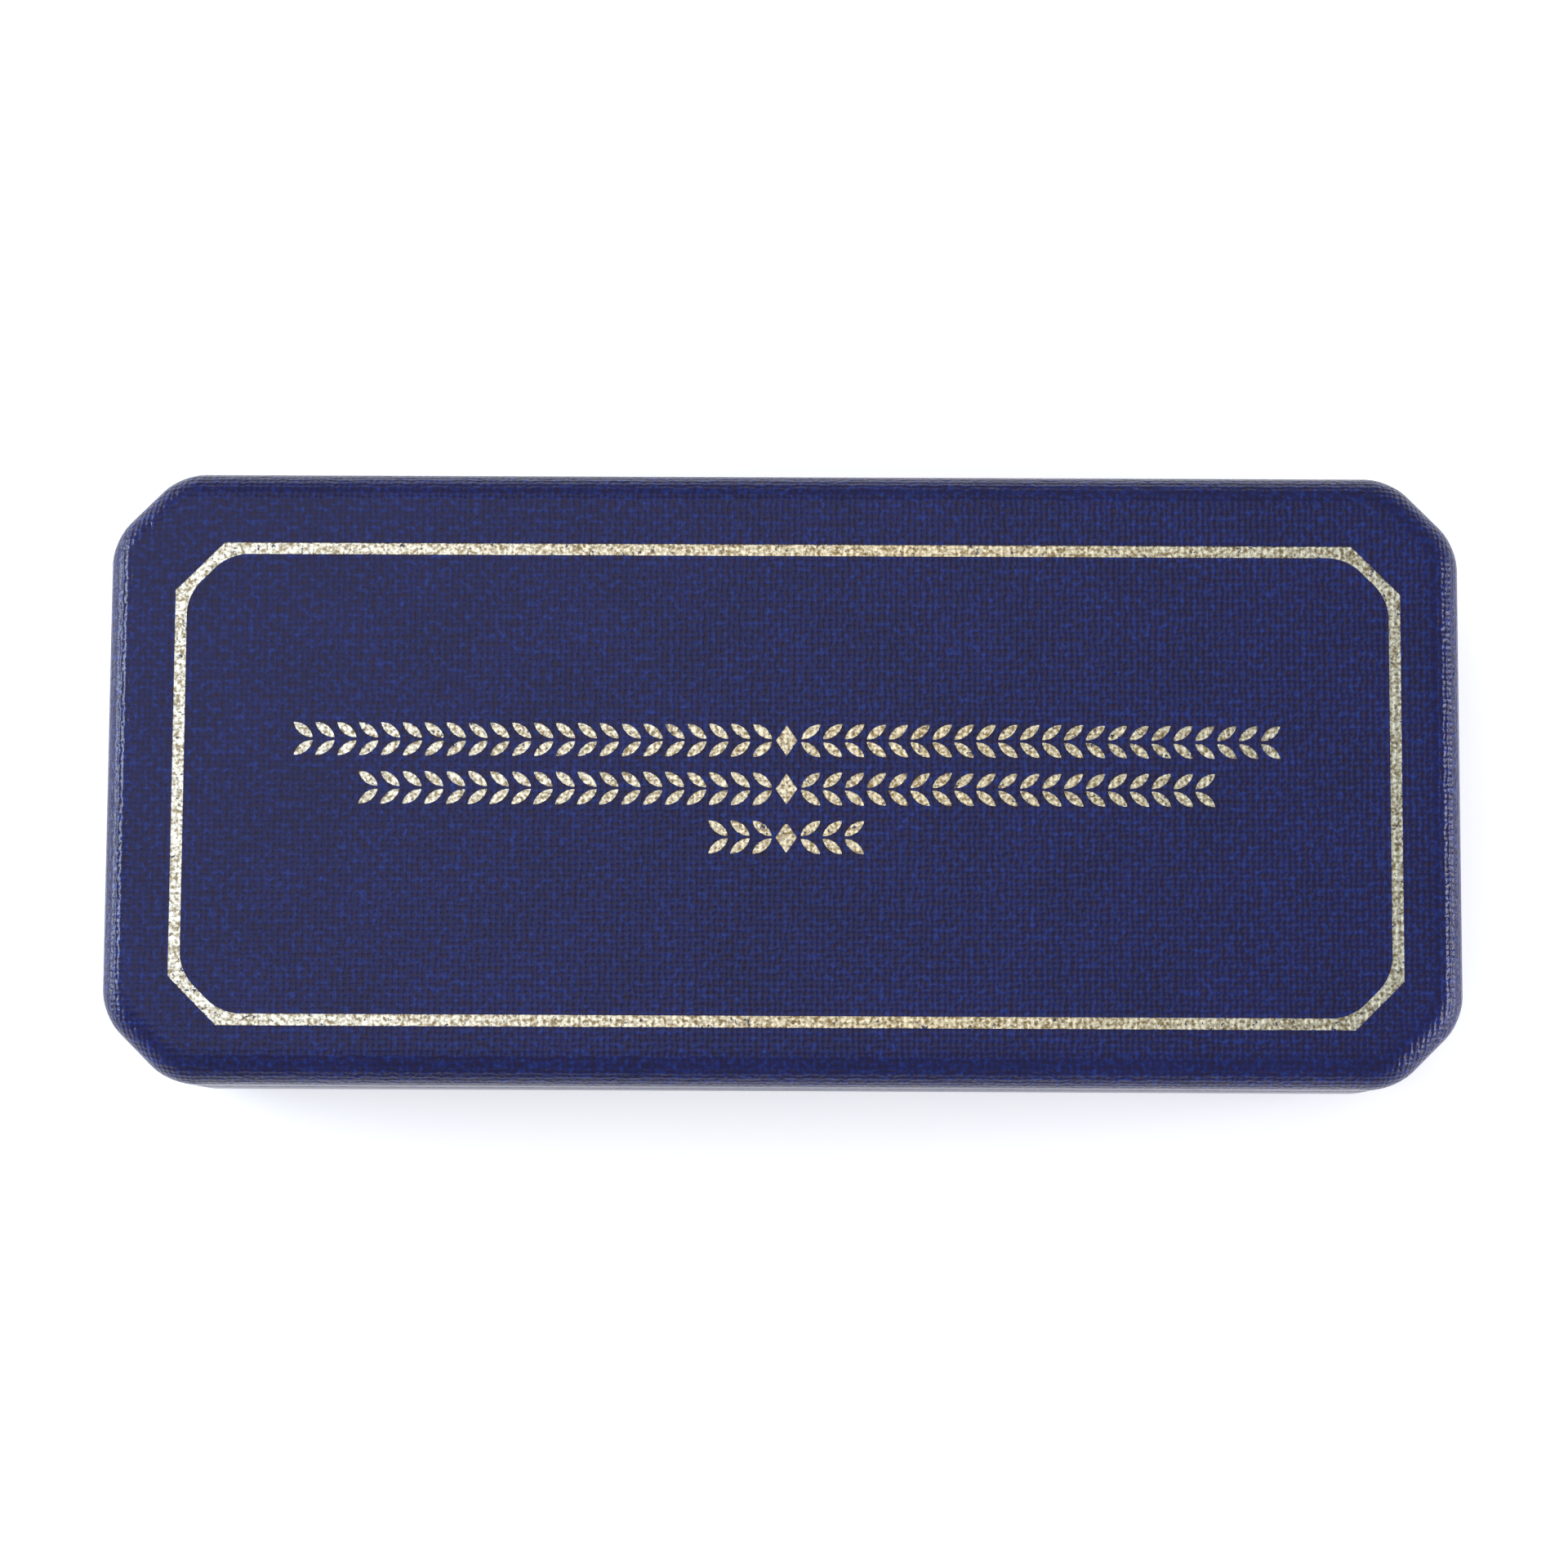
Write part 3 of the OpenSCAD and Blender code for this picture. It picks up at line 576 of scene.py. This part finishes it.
def put(target, part, matrix=Matrix()):
    """Adds a copy of a bmesh to another, moved by a matrix, and frees it."""
    part.transform(matrix)
    data = bpy.data.meshes.new("part")
    part.to_mesh(data)
    part.free()
    target.from_mesh(data)
    bpy.data.meshes.remove(data)


def put_block(target, centre, size):
    """Adds a block to a bmesh."""
    block = bmesh.new()
    bmesh.ops.create_cube(block, size=1)
    put(target, block, Matrix.Translation(centre) @ Matrix.Diagonal((*size, 1)))


def laurel_row(length):
    """Flat faces of one row: leaf pairs that run out to both sides from a lozenge."""
    row = bmesh.new()
    put(row, lozenge())
    pairs = 1 + round((length / 2 - LEAF_FIRST - LEAF_L * math.cos(LEAF_LEAN)) / LEAF_PITCH)
    for pair in range(pairs):
        for side in (0, math.pi):
            for lean in (-1, 1):
                root = Vector((math.cos(side) * (LEAF_FIRST + pair * LEAF_PITCH), lean * LEAF_OFF, 0))
                turn = Matrix.Rotation(side + lean * math.cos(side) * LEAF_LEAN, 4, "Z")
                put(row, leaf_shape(LEAF_L, LEAF_W), Matrix.Translation(root) @ turn)
    return row


def border_band(half_x, half_y):
    """Flat faces of the border line: sharp cut corners outside, rounded ones inside."""
    outer = octagon(half_x, half_y, BORDER_CUT)
    inner_cut = BORDER_CUT - BORDER_W * (2 - math.sqrt(2))
    put(outer, octagon(half_x - BORDER_W, half_y - BORDER_W, inner_cut, BORDER_R))
    bmesh.ops.delete(outer, geom=outer.faces[:], context="FACES_ONLY")
    bmesh.ops.triangle_fill(outer, edges=outer.edges[:], use_beauty=True)
    return outer


def stamped_shapes(lid_low, lid_high):
    """Flat faces of each foil piece at the lid's top, by the name of the frame node that it replaces."""
    half = (lid_high - lid_low) / 2
    shapes = {"foil_border": border_band(half.x - BORDER_INSET, half.y - BORDER_INSET)}
    for name, length, place in zip(("top", "middle", "bottom"), ROW_LENGTHS, (1, 0, -1)):
        row = laurel_row(length)
        bmesh.ops.translate(row, vec=(0, place * ROW_PITCH - ROW_DROP, 0), verts=row.verts)
        shapes["foil_row_" + name] = row
    for shape in shapes.values():
        bmesh.ops.translate(shape, vec=STAMP_OFF + Vector((0, 0, lid_high.z)), verts=shape.verts)
    return shapes


def pressed_foil(name, shape):
    """Foil that lines a shallow print: its edge is level with the cloth and its floor is sunk."""
    bmesh.ops.recalc_face_normals(shape, faces=shape.faces)
    if shape.faces[0].normal.z < 0:
        bmesh.ops.reverse_faces(shape, faces=shape.faces)
    islands = shape.faces[:]
    bmesh.ops.inset_region(shape, faces=islands, thickness=FOIL_LEDGE, depth=-FOIL_DEPTH,
                           use_even_offset=True)
    piece(name + "_foil", shape, "lid", FOIL, "foil", name)


def cut_hinge_room(made):
    """Cuts the room for the hinge's barrel and leaves out of a cover's rim."""
    low, high = box_mm("hinge_leaf_base")
    pin_low, pin_high = box_mm("hinge_pin")
    axis = (pin_low + pin_high) / 2
    half = (high.x - low.x) / 2 + HINGE_END_GAP
    face_y = low.y - LEAF_GAP
    room = bmesh.new()
    bmesh.ops.create_cone(room, cap_ends=True, segments=48, radius1=BARREL_ROOM_R, radius2=BARREL_ROOM_R,
                          depth=2 * half)
    bmesh.ops.rotate(room, cent=(0, 0, 0), matrix=Matrix.Rotation(math.pi / 2, 3, "Y"), verts=room.verts)
    bmesh.ops.translate(room, vec=(0, axis.y, axis.z), verts=room.verts)
    put_block(room, (0, (face_y + axis.y) / 2, axis.z), (2 * half - 0.01, axis.y - face_y, BARREL_SLOT_H))
    put_block(room, (0, face_y + LEAF_ROOM_T / 2, axis.z), (2 * half, LEAF_ROOM_T, LEAF_ROOM_H))
    cut_out(made, "hinge_room", room)


def lid_cloth():
    """Leathercloth of the lid, with the stamp's prints cut through for the foil to line."""
    low, high = box_mm("lid_cover")
    height = high.z - low.z
    bm = wrapped_shell(high.x - low.x, high.y - low.y, height, LID_ROLL)
    bmesh.ops.translate(bm, vec=(0, 0, low.z), verts=bm.verts)
    crown = [f for f in level(bm, high.z) if len(f.verts) > 8]
    bmesh.ops.inset_region(bm, faces=crown, thickness=CROWN_IN, use_even_offset=True)
    crown = [f for f in crown if f.is_valid]
    rim = crown[0].edges[:]
    bmesh.ops.delete(bm, geom=crown, context="FACES_ONLY")
    holes = []
    shapes = stamped_shapes(low, high)
    for shape in shapes.values():
        outline = shape.copy()
        inside = [e for e in outline.edges if not e.is_boundary]
        bmesh.ops.delete(outline, geom=outline.faces[:], context="FACES_ONLY")
        bmesh.ops.delete(outline, geom=inside, context="EDGES")
        known = set(bm.edges)
        put(bm, outline)
        holes += [e for e in bm.edges if e not in known]
    bmesh.ops.triangle_fill(bm, edges=rim + holes, use_beauty=True, normal=(0, 0, 1))
    bmesh.ops.recalc_face_normals(bm, faces=bm.faces)
    wrap_coords(bm, high.z, LID_ROLL, height)
    made = piece("lid_leathercloth", bm, "lid", CLOTH, "leathercloth", "lid_cover")
    thicken(made, CLOTH_T)
    cut_hinge_room(made)
    for name, shape in shapes.items():
        pressed_foil(name, shape)


def base_cloth():
    """Leathercloth of the base, turned in over its rim and tucked under its bottom."""
    low, high = box_mm("base_cover")
    height = high.z - low.z
    bm = wrapped_shell(high.x - low.x, high.y - low.y, height, BASE_ROLL)
    under = [f for f in level(bm, height) if len(f.verts) > 8]
    bmesh.ops.inset_region(bm, faces=under, thickness=TUCK - BASE_ROLL, use_even_offset=True)
    bmesh.ops.delete(bm, geom=[f for f in under if f.is_valid], context="FACES")
    bmesh.ops.recalc_face_normals(bm, faces=bm.faces)
    wrap_coords(bm, height, BASE_ROLL, height)
    bmesh.ops.scale(bm, vec=(1, 1, -1), verts=bm.verts)
    bmesh.ops.reverse_faces(bm, faces=bm.faces)
    bmesh.ops.translate(bm, vec=(0, 0, high.z), verts=bm.verts)
    made = piece("base_leathercloth", bm, "base", CLOTH, "leathercloth", "base_cover")
    thicken(made, CLOTH_T)
    cut_hinge_room(made)


# ---- Lining ----

def soften(made, voxel, rounds):
    """Rebuilds a piece as an even skin of small faces and rounds its edges off."""
    skin = made.modifiers.new("skin", "REMESH")
    skin.mode = "VOXEL"
    skin.voxel_size = voxel * MM
    skin.use_smooth_shade = True
    smooth = made.modifiers.new("rounding", "SMOOTH")
    smooth.iterations = rounds
    bake_modifiers(made)


def wander(place, size_mm, seed):
    """A smooth random number from about -1 to 1 that changes over that many millimetres."""
    return noise.noise(place / (size_mm * MM) + Vector((seed, 2.7 * seed, -seed)))


def pocket_tools(velvet):
    """Blocks of the room that the bed leaves for the medal, its ribbon, its brooch and the springs."""
    disc_low, disc_high = box_mm("medal_disc")
    claw_low, claw_high = box_mm("medal_claw")
    disc = (disc_low + disc_high) / 2
    radius = disc_high.x - disc.x
    top = velvet[1].z + 5
    half = box_mm("suspender")[1].y + BED_GAP
    seat = velvet[1].z - SEAT_DEPTH
    plate_seat = box_mm("brooch_pin")[0].z - 0.9
    left = box_mm("ribbon")[0].x - BED_GAP
    rail = disc_low.x - RAIL_START
    spring_low, spring_high = box_mm("snap_spring_left")
    tools = bmesh.new()

    def room(low, high):
        low, high = Vector(low), Vector(high)
        put_block(tools, (low + high) / 2, high - low)

    round_room = bmesh.new()
    bmesh.ops.create_cone(round_room, cap_ends=True, segments=128, radius1=radius + BED_GAP,
                          radius2=radius + BED_GAP, depth=top - seat)
    put(tools, round_room, Matrix.Translation((disc.x, 0, (top + seat) / 2)))
    room((left, -half, seat), (rail + BED_GAP, half, top))
    room((left, -half, plate_seat), (left + PLATE_ROOM, half, top))
    room((rail - 3, claw_low.y - BED_GAP, claw_low.z - 0.2),
         (claw_high.x + BED_GAP, claw_high.y + BED_GAP, top))
    arms = bmesh.new()
    bmesh.ops.create_cube(arms, size=1)
    for vert in arms.verts:
        near = vert.co.x > 0
        vert.co = (claw_high.x if near else rail,
                   math.copysign(half * (0.45 if near else 1), vert.co.y), top if vert.co.z > 0 else seat)
    put(tools, arms)
    for side in (-1, 1):
        middle = side * (spring_low.x + spring_high.x) / 2
        room((middle - SLOT_HALF, spring_low.y - 0.5, spring_low.z - 0.5),
             (middle + SLOT_HALF, 40, 40))
    return tools


def velvet_bed():
    """Velvet drawn down over the foam bed and into its pockets, with soft shoulders and a brushed nap."""
    velvet = box_mm("bed_velvet")
    low, high = velvet
    bm = case_block(high.x - low.x, high.y - low.y, high.z - low.z, BED_IN)
    bevel(bm, level(bm, high.z - low.z, "edges"), 0.8, 3)
    bmesh.ops.translate(bm, vec=(0, 0, low.z), verts=bm.verts)
    made = piece("velvet_bed", bm, "base", VELVET, "velvet", "bed_velvet")
    cut_out(made, "bed_pockets", pocket_tools(velvet))
    soften(made, VELVET_VOXEL, 4)
    bm = bmesh.new()
    bm.from_mesh(made.data)
    under = [f for f in bm.faces if f.calc_center_median().z < (low.z + 0.4) * MM]
    bmesh.ops.delete(bm, geom=under, context="FACES")
    for vert in bm.verts:
        nap = sum(height * wander(vert.co, size, seed) for height, size, seed in NAP_WAVES)
        vert.co += vert.normal * nap * MM
    bm.to_mesh(made.data)
    bm.free()
    thicken(made, VELVET_T)


def satin_pad():
    """Satin over soft wadding, pulled round its board: a crowned face with puckers that run in from its
    edge."""
    low, high = box_mm("lid_satin")
    board_z = box_mm("lid_board")[0].z
    back = board_z - PAD_BACK_GAP
    depth = back - low.z
    middle = (low + high) / 2
    bm = case_block(high.x - low.x, high.y - low.y, depth - PUFF_ROOM, PAD_IN)
    bevel(bm, level(bm, depth - PUFF_ROOM, "edges"), PAD_ROLL, 4)
    bmesh.ops.scale(bm, vec=(1, 1, -1), verts=bm.verts)
    bmesh.ops.reverse_faces(bm, faces=bm.faces)
    bmesh.ops.translate(bm, vec=(middle.x, middle.y, back), verts=bm.verts)
    made = piece("satin_pad", bm, "lid", SATIN, "satin", "lid_satin", "lid_wadding")
    soften(made, SATIN_VOXEL, 2)
    puff_up(made, board_z * MM)
    finer = made.modifiers.new("finer", "SUBSURF")
    finer.levels = finer.render_levels = 1
    bake_modifiers(made)
    edge = Vector((high.x - low.x, high.y - low.y)) / 2 * MM
    for vert in made.data.vertices:
        inside = Vector((abs(vert.co.x - middle.x * MM), abs(vert.co.y - middle.y * MM)))
        from_cut = (edge.x + edge.y - inside.x - inside.y - PAD_CORNER * MM) * 0.7
        far = min(edge.x - inside.x, edge.y - inside.y, from_cut)
        along = vert.co.y if edge.x - inside.x < edge.y - inside.y else vert.co.x
        fade = max(0.0, 1 - max(0.0, far) / (PUCKER_REACH * MM))
        ridge = math.sin(along / (PUCKER_PITCH * MM) + 5 * wander(vert.co, 30, 7)) * wander(vert.co, 12, 9)
        if vert.co.z < (low.z + depth * 0.6) * MM:
            vert.co.z += (PUCKER_H * fade ** 1.3 * ridge + 0.25 * wander(vert.co, 22, 1)) * MM
    made.data.update()


def puff_up(made, board):
    """Blows a padded piece up by cloth simulation, eight times larger than life, and keeps each point's
    move under a cap. Points near its board are held."""
    start = [vert.co.copy() for vert in made.data.vertices]
    cap = PUFF_CAP * MM
    made.data.transform(Matrix.Scale(PUFF_SCALE, 4))
    held = made.vertex_groups.new(name="held")
    at_back = [v.index for v in made.data.vertices if start[v.index].z > board - 0.7 * MM]
    held.add(at_back, 1.0, "REPLACE")
    cloth = made.modifiers.new("cloth", "CLOTH")
    cloth.settings.vertex_group_mass = "held"
    cloth.settings.use_pressure = True
    cloth.settings.uniform_pressure_force = 4
    cloth.settings.effector_weights.gravity = 0
    cloth.settings.shrink_min = -0.04
    cloth.settings.quality = 4
    scene = bpy.context.scene
    for step in range(1, 21):
        scene.frame_set(step)
    bake_modifiers(made)
    scene.frame_set(1)
    for vert in made.data.vertices:
        move = vert.co / PUFF_SCALE - start[vert.index]
        if move.length > cap:
            move *= cap / move.length
        vert.co = start[vert.index] + move
    made.vertex_groups.clear()
    made.data.update()


# ---- Medal ----

def raised(shape, lift, foot):
    """Raises a flat face to a ridge along its middle and gives it a foot below, so that it is closed."""
    faces = shape.faces[:]
    sides = bmesh.ops.extrude_face_region(shape, geom=faces)["geom"]
    bmesh.ops.translate(shape, vec=(0, 0, -foot), verts=verts_of(sides))
    bmesh.ops.recalc_face_normals(shape, faces=shape.faces)
    tops = [f for f in shape.faces if f.normal.z > 0.9]
    peaks = bmesh.ops.poke(shape, faces=tops)["verts"]
    bmesh.ops.translate(shape, vec=(0, 0, lift), verts=peaks)
    return shape


def medal():
    """Struck disc: a raised rim, a ring of beads, a laurel wreath and a faceted star on a flat field."""
    low, high = box_mm("medal_disc")
    middle = (low + high) / 2
    radius = high.x - middle.x
    half = DISC_T / 2
    field = half - DISC_SINK
    rim = radius - DISC_RIM
    bm = bmesh.new()
    obverse = [(radius, half - 0.3), (radius - 0.08, half - 0.08), (radius - 0.3, half), (rim + 0.15, half),
               (rim, half - 0.08), (rim - 0.35, field), (0, field)]
    points = [(r, -z) for r, z in reversed(obverse)] + obverse
    line = [bm.verts.new((r, 0, z)) for r, z in points]
    profile = [bm.edges.new(pair) for pair in zip(line, line[1:])]
    bmesh.ops.spin(bm, geom=line + profile, cent=(0, 0, 0), axis=(0, 0, 1), angle=2 * math.pi, steps=160,
                   use_merge=True)
    bmesh.ops.remove_doubles(bm, verts=bm.verts, dist=1e-4)
    bmesh.ops.recalc_face_normals(bm, faces=bm.faces)
    for bead in range(BEADS):
        turn = Matrix.Rotation(2 * math.pi * bead / BEADS, 4, "Z")
        ball = bmesh.new()
        bmesh.ops.create_uvsphere(ball, u_segments=10, v_segments=6, radius=BEAD_R)
        put(bm, ball, turn @ Matrix.Translation((rim - BEAD_IN, 0, field)))
    star = bmesh.new()
    bmesh.ops.create_circle(star, cap_ends=True, segments=16, radius=radius * STAR_OUT)
    for k, vert in enumerate(star.verts):
        if k % 2:
            vert.co *= STAR_WAIST
    put(bm, raised(star, 0.55, 0.3), Matrix.Translation((0, 0, field + 0.12)))
    for step in range(2):
        boss = bmesh.new()
        bmesh.ops.create_cone(boss, cap_ends=True, segments=40, radius1=2.1 - step, radius2=1.8 - step,
                              depth=0.9)
        put(bm, boss, Matrix.Translation((0, 0, field + 0.25 + step * 0.3)))
    for side in (-1, 1):
        for k in range(WREATH_PAIRS):
            round_by = side * math.radians(14 + k * 128 / WREATH_PAIRS)
            place = Vector((math.cos(round_by), math.sin(round_by), 0)) * radius * WREATH_AT
            ahead = round_by + side * math.pi / 2
            for lean in (-1, 0, 1):
                leaf = raised(leaf_shape(*WREATH_LEAF), 0.28, 0.3)
                put(bm, leaf, Matrix.Translation(place + Vector((0, 0, field + 0.06 + 0.05 * (lean == 0)))) @
                    Matrix.Rotation(ahead + lean * math.radians(34), 4, "Z"))
    bmesh.ops.translate(bm, vec=(middle.x, middle.y, middle.z), verts=bm.verts)
    piece("struck_medal", bm, "base", CUPRONICKEL, "cupro_nickel", "medal_disc")


def crisp_copy(node, name, body, material, slot, edge):
    """A merged copy of a frame node with its edges broken as on the real piece."""
    bm = bmesh.new()
    bm.from_mesh(nodes[node].data)
    bmesh.ops.remove_doubles(bm, verts=bm.verts, dist=1e-7)
    bmesh.ops.scale(bm, vec=(1 / MM, 1 / MM, 1 / MM), verts=bm.verts)
    bmesh.ops.dissolve_limit(bm, angle_limit=math.radians(1), verts=bm.verts, edges=bm.edges)
    made = piece(name, bm, body, material, slot, node)
    broken = made.modifiers.new("broken_edges", "BEVEL")
    broken.width = edge * MM
    broken.segments = 2
    broken.limit_method = "ANGLE"
    broken.angle_limit = SHARP


def medal_ribbon():
    """Ribbon looped round both bars in one belt, a little uneven across, with its stripes and ribs woven
    in."""
    low, high = box_mm("ribbon")
    middle = (low + high) / 2
    outer = (high.z - low.z) / 2
    radius = outer - RIBBON_T / 2
    straight = (high.x - low.x) - 2 * outer
    bm = bmesh.new()
    bmesh.ops.create_circle(bm, segments=36, radius=radius)
    bmesh.ops.rotate(bm, cent=(0, 0, 0), matrix=Matrix.Rotation(math.pi / 36, 3, "Z"), verts=bm.verts)
    bmesh.ops.rotate(bm, cent=(0, 0, 0), matrix=Matrix.Rotation(math.pi / 2, 3, "X"), verts=bm.verts)
    for vert in bm.verts:
        vert.co.x += math.copysign(straight / 2, vert.co.x)
    long = [e for e in bm.edges if e.calc_length() > straight * 0.8]
    bmesh.ops.subdivide_edges(bm, edges=long, cuts=60)
    bmesh.ops.translate(bm, vec=(middle.x, low.y, middle.z), verts=bm.verts)
    turned = bmesh.ops.extrude_edge_only(bm, edges=bm.edges[:])["geom"]
    bmesh.ops.translate(bm, vec=(0, high.y - low.y, 0), verts=verts_of(turned))
    across = [e for e in bm.edges if abs(e.verts[0].co.y - e.verts[1].co.y) > 1]
    bmesh.ops.subdivide_edges(bm, edges=across, cuts=31, use_grid_fill=True)
    for vert in bm.verts:
        inner = max(0.0, 1 - abs(vert.co.x - middle.x) / (straight / 2))
        if vert.co.z > middle.z:
            edge = abs(vert.co.y - middle.y) / (high.y - middle.y)
            sag = 0.35 * (inner * (1 - inner) * 4) * wander(vert.co * MM, 14, 2)
            vert.co.z += sag + 0.25 * edge ** 6 * inner
    bmesh.ops.recalc_face_normals(bm, faces=bm.faces)
    made = piece("medal_ribbon", bm, "base", RIBBON, "ribbon_silk", "ribbon")
    thicken(made, RIBBON_T, 0)


def snap_spring(node, name):
    """Bow of spring wire whose two ends are hooked through the hinge leaves."""
    low, high = box_mm(node)
    wire = (high.x - low.x) / 2
    reach = (high.z - low.z) / 2 - wire
    centre = Vector(((low.x + high.x) / 2, low.y + reach + wire, (low.z + high.z) / 2))
    bm = bmesh.new()
    bmesh.ops.create_circle(bm, cap_ends=True, segments=12, radius=wire)
    bmesh.ops.rotate(bm, cent=(0, 0, 0), matrix=Matrix.Rotation(math.pi / 2, 3, "X"), verts=bm.verts)
    bmesh.ops.translate(bm, vec=(centre.x, high.y, centre.z - reach), verts=bm.verts)

    def onward(face, vec):
        moved = bmesh.ops.extrude_face_region(bm, geom=[face])["geom"]
        bmesh.ops.translate(bm, vec=vec, verts=verts_of(moved))
        return faces_of(moved)[0]

    end = onward(bm.faces[:][0], (0, centre.y - high.y, 0))
    bent = bmesh.ops.spin(bm, geom=[end], cent=centre, axis=(1, 0, 0), angle=-math.pi, steps=28)["geom_last"]
    onward(faces_of(bent)[0], (0, high.y - centre.y, 0))
    bmesh.ops.remove_doubles(bm, verts=bm.verts, dist=1e-4)
    bmesh.ops.recalc_face_normals(bm, faces=bm.faces)
    made = piece(name, bm, None, STEEL, "spring_steel", node)
    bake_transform(made)


# ---- Setting ----

CAMERA_DISTANCE = 400
CAMERA_TILT = math.radians(6.0)
CAMERA_TURN = math.radians(2.8)
CAMERA_ROLL = math.radians(0.28)
FRAME_W = 161
FLOOR_HALF = 6


def camera():
    """Looks down on the lid, leaning a little towards the opening side."""
    target = Vector((0.1, -0.8, cad_box[1][2] / MM)) * MM
    away = Vector((math.sin(CAMERA_TILT) * math.sin(CAMERA_TURN),
                   -math.sin(CAMERA_TILT) * math.cos(CAMERA_TURN), math.cos(CAMERA_TILT)))
    upward = (Vector((0, 1, 0)) - away * away.y).normalized()
    right = upward.cross(away)
    turned_right = right * math.cos(CAMERA_ROLL) + upward * math.sin(CAMERA_ROLL)
    turned_up = upward * math.cos(CAMERA_ROLL) - right * math.sin(CAMERA_ROLL)
    data = bpy.data.cameras.new("camera")
    data.lens = data.sensor_width * CAMERA_DISTANCE / FRAME_W
    data.clip_start = 0.01
    made = bpy.data.objects.new("camera", data)
    made.matrix_world = Matrix.Translation(target + away * CAMERA_DISTANCE * MM) @ \
        Matrix((turned_right, turned_up, away)).transposed().to_4x4()
    bpy.context.scene.collection.objects.link(made)
    bpy.context.scene.camera = made


def softbox(name, place, size, power, code="ffffff"):
    """A rectangular light that faces the origin, with its place and size in metres."""
    data = bpy.data.lights.new(name, "AREA")
    data.shape = "RECTANGLE"
    data.size, data.size_y = size
    data.energy = power
    data.color = linear(code)[:3]
    made = bpy.data.objects.new(name, data)
    made.location = place
    made.rotation_euler = (-Vector(place)).to_track_quat("-Z", "Y").to_euler()
    bpy.context.scene.collection.objects.link(made)


def floor():
    """A plain white light table, far wider than the view, so that the case casts almost no shadow."""
    bm = bmesh.new()
    bmesh.ops.create_grid(bm, x_segments=1, y_segments=1, size=FLOOR_HALF)
    data = bpy.data.meshes.new("floor")
    bm.to_mesh(data)
    bm.free()
    made_of, tree = blank("light_table")
    finish_with(tree, {"Base Color": linear("f6f6f6"), "Roughness": 0.9, "Specular IOR Level": 0.1,
                       "Emission Color": linear("ffffff"), "Emission Strength": 0.3})
    data.materials.append(made_of)
    made = bpy.data.objects.new("floor", data)
    bpy.context.scene.collection.objects.link(made)


def light():
    """Soft light from both sides, so the flat lid stays deep and its rolled edges shine."""
    world = bpy.data.worlds.new("studio")
    world.use_nodes = True
    world.node_tree.nodes["Background"].inputs["Color"].default_value = (0.95, 0.97, 1, 1)
    world.node_tree.nodes["Background"].inputs["Strength"].default_value = 0.62
    bpy.context.scene.world = world
    softbox("left_softbox", (-0.62, 0.1, 0.14), (0.5, 0.12), 4.4, "e6f2ff")
    softbox("right_softbox", (0.62, -0.14, 0.16), (0.5, 0.2), 4.2, "f4f4ff")
    softbox("top_softbox", (-0.3, 0.22, 0.8), (0.9, 0.9), 2.2)
    bpy.context.scene.view_settings.view_transform = "Standard"


# ---- The object ----

camera()
floor()
light()
lid_cloth()
base_cloth()
velvet_bed()
satin_pad()
medal()
medal_ribbon()
for side in ("left", "right"):
    snap_spring("snap_spring_" + side, side + "_snap_spring")
for node, name in (("medal_claw", "claw"), ("suspender", "suspender_bar")):
    crisp_copy(node, name, "base", CUPRONICKEL, "cupro_nickel", CLAW_EDGE)
for node, name in (("brooch_bar", "brooch_plate"), ("brooch_catch", "brooch_hook"),
                   ("brooch_hinge", "brooch_ears")):
    crisp_copy(node, name, "base", GILDING_METAL, "gilding_metal", BROOCH_EDGE)
crisp_copy("base_collar", "locating_collar", "base", FLAT_CLOTH, "collar_cloth", COLLAR_EDGE)
for made_of, covered in ((STEEL, ("hinge_leaf_base", "hinge_leaf_lid", "hinge_pin", "hinge_rivets_base",
                                  "hinge_rivets_lid", "brooch_pin", "brooch_rivet")),
                         (CUPRONICKEL, ("claw_rivets", "swivel_pin")),
                         (CARD, ("base_tuck_filler", "bed_board", "lid_board")),
                         (FLAT_CLOTH, ("base_underlay",)), (FOAM, ("bed_foam",)),
                         (STYRENE, ("base_shell", "lid_shell"))):
    for node in covered:
        dress(node, made_of)
